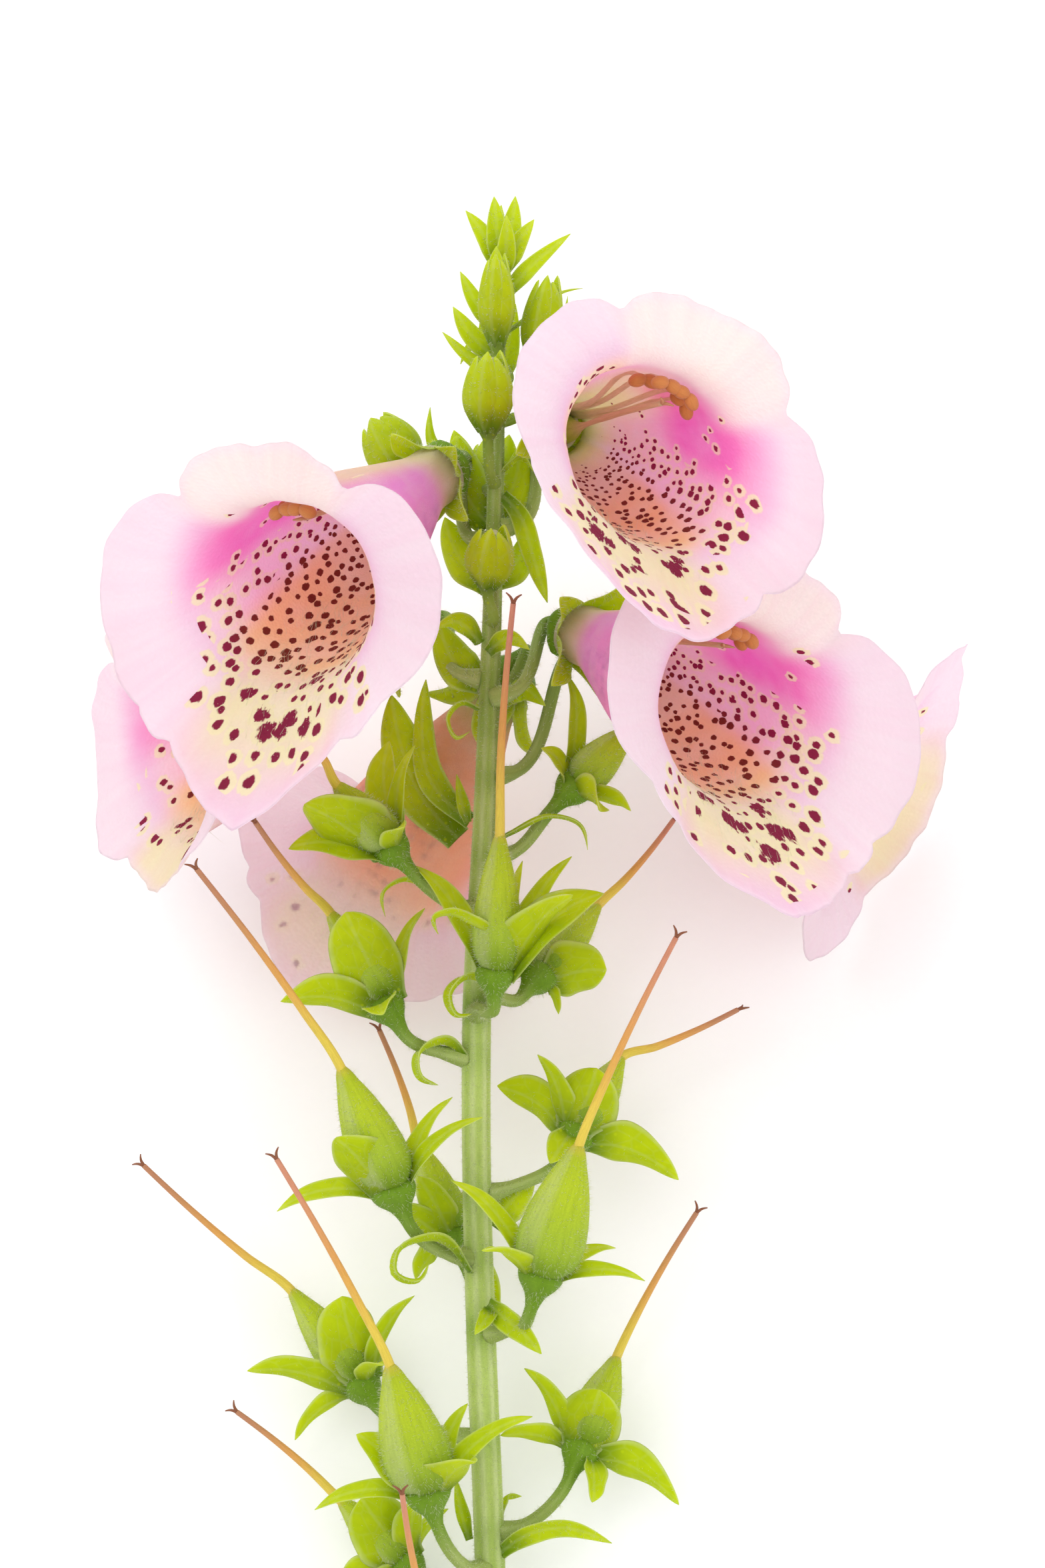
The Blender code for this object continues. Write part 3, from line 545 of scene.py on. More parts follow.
def add_piece(name, shells, material, slot, *nodes):
    """One mesh object from the shells, with its UV map, tint and marks, riding on the root body."""
    shell = joined(shells)
    points = shell.points @ TO_ROW.T + OFFSET
    points[:, 2] = np.maximum(points[:, 2], FLOOR_CLEARANCE)
    mesh = bpy.data.meshes.new(name)
    mesh.from_pydata((points * MM).tolist(), [], shell.quads.tolist() + shell.triangles.tolist())
    uv = np.concatenate([shell.uv_quads.reshape(-1), shell.uv_triangles.reshape(-1)])
    mesh.uv_layers.new(name="skin").data.foreach_set("uv", uv.astype(np.float32))
    for label, values in (("tint", shell.tint), ("marks", shell.marks)):
        attribute = mesh.attributes.new(label, "FLOAT_COLOR", "POINT")
        attribute.data.foreach_set("color", np.column_stack([values, np.ones(len(values))]).ravel())
    mesh.materials.append(material)
    mesh.shade_smooth()
    piece = bpy.data.objects.new(name, mesh)
    bpy.context.scene.collection.objects.link(piece)
    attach(piece, "root")
    if nodes:
        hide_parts(*nodes)
    return piece


def out_of_stem(bearing):
    """The way out of the stem at a bearing: its sine along x and its cosine along z."""
    turn = math.radians(bearing)
    return np.array([math.sin(turn), 0, math.cos(turn)])


def stem_at(height):
    """The stem's middle and radius at a height."""
    heights = [y for _, y in STEM_MIDDLE]
    x = np.interp(height, heights, [x for x, _ in STEM_MIDDLE])
    return np.array([x, height, 0]), np.interp(height, heights, STEM_RADIUS)


def pose(axis, down):
    """Rows x, y and z of a frame whose z is the axis and whose y is as near to down as it can be."""
    z = unit(axis)
    down = np.asarray(down, float)
    y = unit(down - down.dot(z) * z)
    return np.array([np.cross(y, z), y, z])


def leaf_tint(greens, freshness):
    """Colours of a blade: dark foot, lime middle, yellower tip and pale downy edge. The dark foot is
    partly the leaf's own deeper green and partly painted shade where the sepals crowd and overlap; the
    bright lime and yellower tip are partly its own colour and partly a painted glow of light through
    it. freshness 0 is the deepest green and 1 the yellowest."""
    def colours(share, edge):
        lime = blend(np.asarray(greens.lime, float), greens.tip, freshness * 0.6)
        # in part painted shade at the dark foot, and in part a painted glow of light through the lime blade
        # and yellower tip
        tint = blend(ground(greens.shade, share), lime, smooth(share, 0.02, 0.42))
        tint = blend(tint, greens.tip, smooth(share, 0.5, 1.0) * (0.25 + 0.6 * freshness))
        return blend(tint, greens.edge, smooth(edge, 0.86, 0.99) * 0.7)
    return colours


def stalk_shell(greens, height, bearing, calyx, axis, cup):
    """A flower stalk with the cup of its calyx, on the route of its node."""
    middle, stem_radius = stem_at(height)
    out = out_of_stem(bearing)
    foot = middle + out * stem_radius * 0.7
    surface = middle + out * (stem_radius + 0.35)
    points = np.array([
        (*foot, 1.3),
        (*(surface + out * 1.6 + (0, 0.5, 0)), 0.82),
        (*(calyx - axis * 4.2), 0.72),
        (*(calyx - axis * 2.6), cup * 0.5),
        (*(calyx - axis * 1.2), cup * 0.92),
        (*calyx, cup),
        (*(calyx + axis * 0.5), cup * 0.86),
    ])

    def colours(share, angle):
        tint = ground(np.asarray(greens.stem, float) * 0.72, share)
        tint = blend(tint, greens.shade, smooth(share, 0.35, 0.8) * 0.95)
        return blend(tint, greens.rib, 0.25 * bump(np.cos(2.5 * angle), 1, 0.4) * (1 - share))
    return tube(points, np.cross(out, axis) + (0.01, 0, 0.01), 44, 20, colours,
                section=lambda angle: 1 + 0.05 * np.cos(5 * angle))


def sepal_shell(greens, calyx, axis, cup, reach, width, blunt, freshness, facing=0.0):
    """A sepal from the calyx's cup to calyx + reach: it leaves along the axis and bends outwards.

    facing turns its face from the axis towards the front or the back of the spike.
    """
    reach = np.asarray(reach, float)
    radial = unit(reach - reach.dot(axis) * axis)
    foot = calyx + radial * cup * 0.6 - axis * 0.8
    tip = calyx + reach
    length = np.linalg.norm(tip - foot)
    points = (foot, foot + (tip - foot) * 0.3 + axis * length * 0.13,
              foot + (tip - foot) * 0.66 + axis * length * 0.12, tip)
    direction = unit(tip - foot)
    inner = axis * direction.dot(radial) - radial * direction.dot(axis)
    inner = unit(inner + (0, 0, facing * (1 if inner[2] > 0 else -1)))
    return blade(points, np.cross(inner, direction), width, blunt, leaf_tint(greens, freshness))


def calyx_shells(bell, greens, rng):
    """The five sepals of an open flower: length along the axis, spread by 58 degrees and bent in."""
    calyx = np.array(bell.calyx, float)
    axis = unit(bell.axis)
    x, y, z = pose(bell.axis, (0, -1, 0.2))
    shells = []
    for i in range(5):
        turn = math.radians(bell.turn + 7 + i * 72)
        radial = x * math.sin(turn) + y * math.cos(turn)
        length = bell.sepal * (1 - 0.06 * (i % 3))
        spread = math.radians(45 + 5 * (i % 2))
        reach = radial * (2.0 + length * math.sin(spread)) + z * length * math.cos(spread)
        shells.append(sepal_shell(greens, calyx, axis, 3.4, reach, 4.8, 2, rng.uniform(0, 0.7)))
    return shells


def limb_length(theta, lip, sides):
    """How far the wall runs past its tube: the rim, a rise for each lobe and a notch between lobes.

    A side lobe rises as (1 - x^2)^0.7, where x runs from -1 to 1 over its width; the lip is a third
    that and two thirds (1 - |x|), which ends it in a point. The upper lobe is a low rise with a
    shallow notch.
    """
    def arch(x):
        return np.clip(1 - x**2, 0, None) ** 0.7

    degrees = np.degrees(theta)
    turn = np.abs((degrees + 180) % 360 - 180)
    length = np.full_like(theta, RIM)
    for bearing in SIDE_LOBES:
        length = length + sides * arch(((degrees - bearing + 180) % 360 - 180) / SIDE_HALF_WIDTH)
    x = turn / LIP_HALF_WIDTH
    length = length + lip * (0.35 * arch(x) + 0.65 * np.clip(1 - x, 0, None))
    length = length + HOOD_RISE * arch((180 - turn) / HOOD_HALF_WIDTH)
    return length - 1.0 * bump(turn, 132, 6) - 0.4 * bump(turn, 180, 8)


def bell_wall(lip, sides, phase):
    """The inner skin of a bell: theta, s along the wall, the tube's and the whole length, the running
    sum of ds / radius, and places.

    The wall leaves its foot along the axis, opens by about OPEN_TUBE degrees, runs nearly straight,
    and turns out to 34 degrees at the lip, 65 at the sides and 96 at the top; it widens more at the
    sides. The radius is the running sum of the sine of that angle, and the height that of its
    cosine. The rim is ruffled by sines.
    """
    theta = np.linspace(-np.pi, np.pi, 168, endpoint=False)[:, None]
    tube_length = TUBE + BELLY * np.cos(theta)
    ruffle = 0.20 * np.sin(7 * theta + phase) + 0.10 * np.sin(16 * theta + 2.3 * phase)
    ruffle = ruffle + 0.08 * np.sin(31 * theta + 1.1 * phase)
    length = tube_length + limb_length(theta, lip, sides) + ruffle
    s = length * np.linspace(0, 1, INNER_ROWS) ** 0.9
    turn = np.abs(np.degrees(theta))
    widening = np.sin(theta) ** 2
    opening = (OPEN_TUBE + 4 * np.cos(theta)) * smooth(s, 1.5, 6)
    opening = opening * (1 - (0.72 - 0.3 * widening) * smooth(s, 15, 24))
    flare = 65 - 31 * np.cos(theta)
    flared = smooth(s, tube_length - 2 - 4 * widening, tube_length + 5)
    beside = smooth(turn, 50, 80)
    roll = 30 * beside * (1 - smooth(turn, 120, 150)) * smooth(s, length - 7, length)
    lip_turn = -10 * (1 - beside) * smooth(s, tube_length + 4, length - 1)
    angle = np.radians(opening + (flare - opening) * flared + roll + lip_turn)
    step = np.diff(s, axis=1)
    middle = (angle[:, 1:] + angle[:, :-1]) / 2
    zero = np.zeros_like(theta)
    radius = THROAT + np.hstack([zero, np.cumsum(np.sin(middle) * step, axis=1)])
    height = np.hstack([zero, np.cumsum(np.cos(middle) * step, axis=1)])
    spin = np.hstack([zero, np.cumsum(2 * step / (radius[:, 1:] + radius[:, :-1]), axis=1)])
    limb = smooth(s, tube_length - 1, length)
    wave = limb * (0.60 * np.sin(4 * theta + phase) + 0.16 * np.sin(9 * theta + 1.7 * phase))
    wave = wave + limb**3 * 0.10 * np.sin(23 * theta + phase)
    flute = 0.08 * smooth(s, 8, 18) * (1 - limb) * np.cos(10 * theta)
    radius = radius + flute + wave * np.cos(angle)
    height = height - wave * np.sin(angle)
    grid = np.stack([radius * np.sin(theta), radius * np.cos(theta), height], axis=2)
    return theta, s, tube_length, length, spin, grid


def inner_colours(petals, bell, theta, s, tube_length, length):
    """Colours and marks of a bell's inner skin.

    away is the bearing towards the stem, in degrees from a line 48 degrees past the lip that winds
    1.5 degrees for each mm down the tube. On that side the wall is painted orange, a painted shade
    where the stem keeps the light from behind off it; on the other it is pale pink with ringed spots,
    and beyond them a deep pink, a painted glow of the light from behind. Marks hold how many cells of
    the pattern have a small spot, how many a blotch, and how strong the pale rings are.
    """
    degrees = np.degrees(theta) + 0 * s
    away = degrees * bell.stem_side + 48 + 1.5 * (tube_length - s)
    turn = np.abs(degrees)
    past_tube = s - tube_length

    # grounds, from the foot of the tube to the rim
    in_tube = 1 - smooth(past_tube, -4, 1.5)
    lip = 1 - smooth(turn, 34, 50)
    hood = smooth(turn, 120, 138)
    tint = blend(ground(petals.rim, s), petals.lilac, 0.7 * bump(past_tube, 0, 2.8) * (1 - hood))
    tint = blend(tint, petals.blush, in_tube)
    # painted light: a deep pink glow on the wall away from the stem, where light from behind comes through
    backlit_flank = smooth(-away, 20, 50) * (1 - smooth(-away, 100, 135)) * smooth(s, 10, 20)
    tint = blend(tint, petals.backlit_flank, 0.95 * backlit_flank * (1 - smooth(past_tube, -3, 5)))
    # painted shade: the wall on the stem's side turns orange, where the stem keeps the light from behind off
    # it
    wall = smooth(away, -12, 10) * (1 - smooth(away, 165, 200)) * in_tube
    tint = blend(tint, petals.throat, 0.95 * wall)
    tint = blend(tint, petals.cream, 0.5 * wall * smooth(away, 120, 165))
    tint = blend(tint, petals.cream, 0.85 * (1 - smooth(s, 8, 20)))
    strip = bump(away, -4, 9) * (1 - smooth(s, 16, 26))
    tint = blend(tint, petals.hood, 0.7 * strip)
    tint = blend(tint, petals.lilac, 0.7 * lip * smooth(past_tube, 1, 6))
    apron = (1 - smooth(turn, 26, 50)) * bump(past_tube, 4.5, 7.5)
    tint = blend(tint, petals.cream, 0.95 * apron)
    tint = blend(tint, petals.hood, 0.92 * hood * smooth(past_tube, -7, 0))
    tint = blend(tint, petals.rim, 0.5 * smooth(s, length - 1.6, length))

    # spots on the wall, the flank and the lip, none at the foot or the rim, few on a shaded bell
    # painted shade: a bell behind the stem shows fewer spots and blotches
    thinned_in_shade = min(1.0, 4 * bell.warm)
    speckled = smooth(s, 5, 9) * (1 - smooth(s, length - 3.5, length - 1.5))
    on_wall = smooth(away, -20, 0) * (1 - smooth(away, 160, 175)) * (1 - smooth(past_tube, -1, 1))
    on_flank = smooth(away, -100, -80) * (1 - smooth(away, -8, 4)) * (1 - smooth(past_tube, 0, 4))
    on_flank = on_flank * (1 - 0.85 * smooth(-away, 24, 50))
    on_lip = (1 - smooth(turn, 44, 58)) * smooth(past_tube, -4, -1)
    spots = np.maximum(np.maximum(0.97 * on_wall, 0.9 * on_flank), 0.75 * on_lip)
    spots = spots * speckled * (1 - 0.75 * thinned_in_shade)
    blotches = (1 - smooth(turn, 24, 36)) * bump(past_tube, 4.5, 4.6)
    rings = np.maximum(1 - smooth(away, -18, 4), smooth(past_tube, -4, 0))
    marks = (spots * (1 - 0.4 * blotches), 0.9 * blotches * (1 - thinned_in_shade), rings)
    return tint, np.stack(np.broadcast_arrays(*marks), axis=2)


def outer_colours(petals, bell, theta, s, tube_length):
    """Colours of a bell's outer skin: cream near the calyx and along its top, pink, and a pale rim. A bell
    that lies behind the stem gets a painted shade of orange-pink on its outside.
    """
    degrees = np.abs(np.degrees(theta)) + 0 * s
    # painted shade: the outside of a bell behind the stem turns orange-pink
    outside = blend(np.asarray(petals.outside, float), petals.stem_shade_salmon, bell.warm * 0.85)
    tint = blend(ground(outside, s), petals.cream, 0.85 * (1 - smooth(s, 2, 9)))
    tint = blend(tint, petals.cream, 0.8 * smooth(degrees, 128, 165) * (1 - smooth(s, 18, 30)))
    tint = blend(tint, petals.rim, 0.92 * smooth(s, tube_length - 8, tube_length + 2))
    return tint, np.zeros_like(tint)


def corolla_shell(petals, bell, index):
    """A bell, and the places of its inner skin. An outer skin lies along the inner one's normals,
    and the two are joined at the rim and the foot.

    The wall thins from the tube to a third at the rim. The pattern's u is the angle and its v the
    running sum of ds / radius, both times PATTERN_RADIUS, so spots stay round and grow with the bell.
    """
    theta, s, tube_length, length, spin, grid = bell_wall(bell.lip, bell.sides, 1.3 + 2.1 * index)
    round_way = np.roll(grid, -1, axis=0) - np.roll(grid, 1, axis=0)
    normal = unit(np.cross(np.gradient(grid, axis=1), round_way))
    thick = petals.wall / MM * (1 - 0.67 * smooth(s, tube_length - 4, length))
    outer = grid + normal * thick[..., None]
    if np.einsum("ijk,ijk->", normal[:, :40, :2], grid[:, :40, :2]) < 0:
        outer = grid - normal * thick[..., None]
    places = np.hstack([grid, outer[:, ::-1]]) * bell.size
    inner_tint, inner_marks = inner_colours(petals, bell, theta, s, tube_length, length)
    outer_tint, outer_marks = outer_colours(petals, bell, theta, s, tube_length)
    tint = np.hstack([inner_tint, outer_tint[:, ::-1]])
    marks = np.hstack([inner_marks, outer_marks[:, ::-1]])
    turn = np.append(theta[:, 0], np.pi)[:, None] * PATTERN_RADIUS + 53 * index
    spin = np.vstack([spin, spin[:1]]) * PATTERN_RADIUS + 31 * index
    uv = np.stack(np.broadcast_arrays(turn, np.hstack([spin, spin[:, ::-1]])), axis=2)
    places = places @ pose(bell.axis, bell.down) + np.array(bell.calyx) + unit(bell.axis) * 0.95
    shell = skin(*(values.swapaxes(0, 1) for values in (places, uv, tint, marks)), ring=True)
    return shell, places[:, :INNER_ROWS]


def throat_hairs(inner, index):
    """Fine hairs on the floor of the throat and the foot of the lip, which point to the mouth."""
    lip = inner.shape[0] // 2
    patch = inner[lip - 18:lip + 18, 30:88]
    rows, columns = patch.shape[:2]
    first = (np.arange(rows - 1)[:, None] * columns + np.arange(columns - 1)).reshape(-1)
    quads = np.stack([first, first + 1, first + columns + 1, first + columns], axis=1)
    sheet = Shell(patch.reshape(-1, 3), quads, *[None] * 5)
    inwards = unit(inner.mean(axis=(0, 1)) - patch.mean(axis=(0, 1)))
    return hairs([sheet], 1.5, 2.2, 40 + index, thickness=0.022, stray=0.4, lean=inwards * 1.6)


def stamen_shells(bell):
    """Four stamens: a thread that arches under the upper wall, and an anther of two plump lobes."""
    rows = pose(bell.axis, bell.down)
    base = np.array(bell.calyx) + unit(bell.axis) * 1.25
    pale, blush, brown = (hex_colour(code) for code in ("FDF6DE", "FBE3C4", "D98A50"))
    radii = (0.38, 0.36, 0.32, 0.28, 0.2)
    ring_radius = 2.42
    lift = 6.6  # how far an anther stands from the axis, towards the upper wall
    up = np.array([0, 0, 1])
    threads, anthers = [], []
    for bearing, reach in ((168, 26), (192, 26), (156, 23), (204, 23)):
        turn = math.radians(bearing)
        side = np.array([math.sin(turn), math.cos(turn), 0])
        points = np.array([side * ring_radius, side * 2.5 + up * 3, side * 3.4 + up * 9,
                           side * (lift + 0.5) + up * reach * 0.8, side * lift + up * reach]) * bell.size
        places = points @ rows + base
        threads.append(tube(np.column_stack([places, radii]), np.cross(side @ rows, rows[2]), 30, 10,
                            lambda share, angle: blend(ground(pale, share), blush, share)))
        inward = -(side @ rows)
        across = np.cross(rows[2], inward)
        for half in (-1, 1):
            middle = places[-1] + across * half * 0.8 + inward * 0.25
            axis = across + inward * 0.35 * half
            anthers.append(ball(middle, axis, rows[2], (1.05, 0.85, 0.75), 14, 10, brown))
    turns = np.linspace(0, 2 * np.pi * 0.97, 12)
    circle = np.stack([np.sin(turns), np.cos(turns), 0 * turns], axis=1) * ring_radius * bell.size
    circle = np.column_stack([circle @ rows + base, np.full(12, 0.27)])
    return threads + [tube(circle, rows[2], 48, 8, even(pale))], anthers


def pistil_shells(greens, bell):
    """The ovary on the calyx's floor, and its style under the upper wall with a two-lobed tip."""
    rows = pose(bell.axis, bell.down)
    base = np.array(bell.calyx) + unit(bell.axis) * 0.35
    points = np.array([(0, 0, 0), (0, 0, 1.5), (0, 0, 4.5), (0, -0.6, 7), (0, -2.2, 13), (0, -4.6, 25)])
    places = points * bell.size @ rows + base
    radii = np.array((1.3, 1.7, 1.35, 0.5, 0.38, 0.3)) * bell.size

    def colours(share, angle):
        return blend(ground(greens.capsule, share), hex_colour("F2D9B4"), smooth(share, 0.18, 0.35))
    body = tube(np.column_stack([places, radii]), rows[0], 46, 14, colours)
    return [body, *stigma(places[-1], places[-1] - places[-2], rows[0], hex_colour("E3B08A"), 0.24)]


def stigma(end, direction, side, colour, radius):
    """The two short lobes that end a style."""
    direction = unit(direction)
    side = unit(np.asarray(side, float) - np.dot(side, direction) * direction)
    lobes = []
    for half in (-side, side):
        points = [(*(end - direction * 0.3), radius),
                  (*(end + direction * 0.6 + half * 0.3), radius * 0.8),
                  (*(end + direction * 1.1 + half * 0.9), radius * 0.35)]
        lobes.append(tube(points, np.cross(direction, side), 10, 8, even(colour)))
    return lobes


def capsule_shell(greens, fruit):
    """A ripening capsule: a cone with a round foot and two grooves, where its halves meet."""
    calyx, tip = np.array(fruit.calyx, float), np.array(fruit.tip, float)
    reach = tip - calyx
    profile = ((0.02, 0.6), (0.12, 0.9), (0.26, 1.0), (0.42, 0.95), (0.6, 0.8), (0.78, 0.58), (0.91, 0.38),
               (1.0, 0.25), (1.05, 0.13))  # shares of the length and of the girth
    points = [(*(calyx + reach * t), fruit.girth * r) for t, r in profile]
    turned = 0.5  # radians by which the grooves are turned

    def colours(share, angle):
        tint = blend(ground(greens.capsule, share), greens.shade, 0.75 * (1 - smooth(share, 0.0, 0.3)))
        tint = blend(tint, greens.tip, 0.45 * smooth(share, 0.2, 0.7))
        tint = blend(tint, greens.edge, 0.35 * bump(np.abs(np.cos(angle - turned)), 1, 0.1))
        return blend(tint, greens.style_foot, 0.6 * smooth(share, 0.9, 1.0))

    def grooved(angle):
        angle = angle - turned
        return 1 - 0.10 * bump(np.abs(np.cos(angle)), 1, 0.05) - 0.056 * np.cos(2 * angle)
    return tube(points, np.cross(unit(reach), (0.3, 0.2, 1)), 44, 40, colours, section=grooved,
                pattern_radius=fruit.girth)


def style_shells(greens, fruit, index):
    """The dry style that stays on a capsule: it thins out, darkens, and ends in two lobes."""
    calyx, tip, end = (np.array(p, float) for p in (fruit.calyx, fruit.tip, fruit.style))
    start = tip + (tip - calyx) * 0.02
    bow = unit(np.cross(end - tip, (0, 0, 1))) * 0.35 * (1 if index % 2 else -1)
    points = [(*(tip - (tip - calyx) * 0.1), 0.6), (*start, 0.56),
              (*(start + (end - start) * 0.3 + bow), 0.46), (*(start + (end - start) * 0.65 + bow), 0.36),
              (*end, 0.3)]
    far = blend(np.asarray(greens.style_end, float), hex_colour("F0A58C"), 0.5 * (index % 3 == 0))

    def colours(share, angle):
        tint = blend(ground(greens.style_foot, share), hex_colour("E8AE5E"), smooth(share, 0.15, 0.55))
        return blend(tint, far, smooth(share, 0.45, 0.95))
    body = tube(points, (0, 0, 1), 60, 12, colours)
    return [body, *stigma(end, end - start, (1, 0.2, 0.4), hex_colour("9A6248"), 0.2)]


def bud_shells(greens, bud, rng):
    """A closed bud: its stalk, the small pale corolla inside, and five sepals that close over it."""
    foot, tip = np.array(bud.foot, float), np.array(bud.tip, float)
    axis = unit(tip - foot)
    length = np.linalg.norm(tip - foot)
    middle, stem_radius = stem_at(bud.height)
    out = out_of_stem(bud.bearing)
    girth = bud.girth

    def on_axis(share, radius):
        return *(foot + axis * length * share), girth * radius

    def stalk_colours(share, angle):
        tint = ground(np.asarray(greens.stem, float) * 0.8, share)
        return blend(tint, greens.shade, 0.6 * smooth(share, 0.5, 1))

    def core_colours(share, angle):
        return blend(ground(greens.tip, share), hex_colour("F3EFC0"), smooth(share, 0.4, 0.9))
    start = middle + out * stem_radius * 0.6
    surface = middle + out * (stem_radius + 0.4)
    stalk = tube([(*start, 0.8), (*(surface + out * 1.2 + (0, 0.6, 0)), 0.62), (*(foot - axis * 1.2), 0.7),
                  on_axis(0, 0.55)], np.cross(out, axis) + (0.02, 0.01, 0.02), 26, 12, stalk_colours)
    core = tube([(*(foot - axis * 0.3), girth * 0.45), on_axis(0.35, 0.82), on_axis(0.7, 0.66),
                 on_axis(0.93, 0.2)], (1, 0, 0.1), 26, 16, core_colours)
    x, y = pose(axis, (0, 0, 1))[:2]
    leaves = []
    for i in range(5):
        turn = math.radians(20 + 72 * i)
        radial = x * math.sin(turn) + y * math.cos(turn)
        points = (foot + radial * girth * 0.35 - axis * 0.5,
                  foot + radial * girth * 1.02 + axis * length * 0.34,
                  foot + radial * girth * 0.85 + axis * length * 0.72,
                  foot + radial * girth * (0.25 + 0.25 * (i % 2)) + axis * length * (1.02 - 0.07 * (i % 3)))
        tint = leaf_tint(greens, rng.uniform(0.1, 0.9))
        leaves.append(blade(points, np.cross(-radial, axis), girth * 1.55, 1.5 + 0.45 * girth, tint,
                            cup=0.3, wave=0.12))
    return [stalk, core, *leaves]


# ---------------------------------------------------------------- materials


def add_node(tree, kind, inputs=(), **settings):
    """Adds a node with its settings; inputs maps a socket to a value or to the output it is linked to."""
    made = tree.nodes.new("ShaderNode" + kind)
    for name, value in settings.items():
        setattr(made, name, value)
    for socket, value in dict(inputs).items():
        if isinstance(value, bpy.types.NodeSocket):
            tree.links.new(value, made.inputs[socket])
        else:
            made.inputs[socket].default_value = value
    return made


def new_material(name):
    """The material of that name, emptied, and its node tree."""
    material = bpy.data.materials.get(name) or bpy.data.materials.new(name)
    material.use_nodes = True
    material.node_tree.nodes.clear()
    return material, material.node_tree


def living_skin(tree, colour, height, roughness, sheen, glow, relief, glow_colour=None):
    """Plant skin: a Principled surface with relief that many mm deep, and glow, the share of light
    that comes through it."""
    normal = add_node(tree, "Bump", {"Height": height, "Strength": 0.6, "Distance": relief * MM}).outputs[0]
    surface = add_node(tree, "BsdfPrincipled", {
        "Base Color": colour, "Roughness": roughness, "IOR": 1.42, "Sheen Weight": sheen,
        "Sheen Roughness": 0.4, "Specular IOR Level": 0.3, "Normal": normal})
    through = add_node(tree, "BsdfTranslucent", {"Color": glow_colour or colour, "Normal": normal})
    both = add_node(tree, "MixShader", {0: glow, 1: surface.outputs[0], 2: through.outputs[0]})
    add_node(tree, "OutputMaterial", {"Surface": both.outputs[0]})


def surface_inputs(tree):
    """A piece's own colours, and the place in its pattern in mm: across it and along it."""
    tint = add_node(tree, "Attribute", attribute_name="tint").outputs["Color"]
    return tint, add_node(tree, "UVMap", uv_map="skin").outputs[0]


def spot_masks(tree, place, spacing, radius, spread, density, halo):
    """Spots one to a cell, spacing apart in mm: the mask of their cores and that of their rings.

    radius, spread and halo are shares of the spacing: the largest core, how much smaller the others
    are, and the width of the ring. A cell whose random value is above density stays bare, and spots
    are larger where they are dense.
    """
    cells = add_node(tree, "TexVoronoi", {"Vector": place, "Scale": 1 / spacing, "Randomness": 0.85},
                     voronoi_dimensions="2D")
    chance = add_node(tree, "SeparateColor", {0: cells.outputs["Color"]})
    smaller = add_node(tree, "Math", {0: chance.outputs[0], 1: spread, 2: cells.outputs["Distance"]},
                       operation="MULTIPLY_ADD").outputs[0]
    smaller = add_node(tree, "Math", {0: density, 1: -0.1, 2: smaller}, operation="MULTIPLY_ADD").outputs[0]
    active = add_node(tree, "Math", {0: chance.outputs[1], 1: density}, operation="LESS_THAN").outputs[0]
    masks = []
    for edge, soft in ((radius, 0.035), (radius + halo, 0.06)):
        inside = add_node(tree, "MapRange", {0: smaller, 1: edge - soft, 2: edge + soft, 3: 1.0, 4: 0.0},
                          interpolation_type="SMOOTHSTEP").outputs[0]
        masks.append(add_node(tree, "Math", {0: inside, 1: active}, operation="MULTIPLY").outputs[0])
    return masks


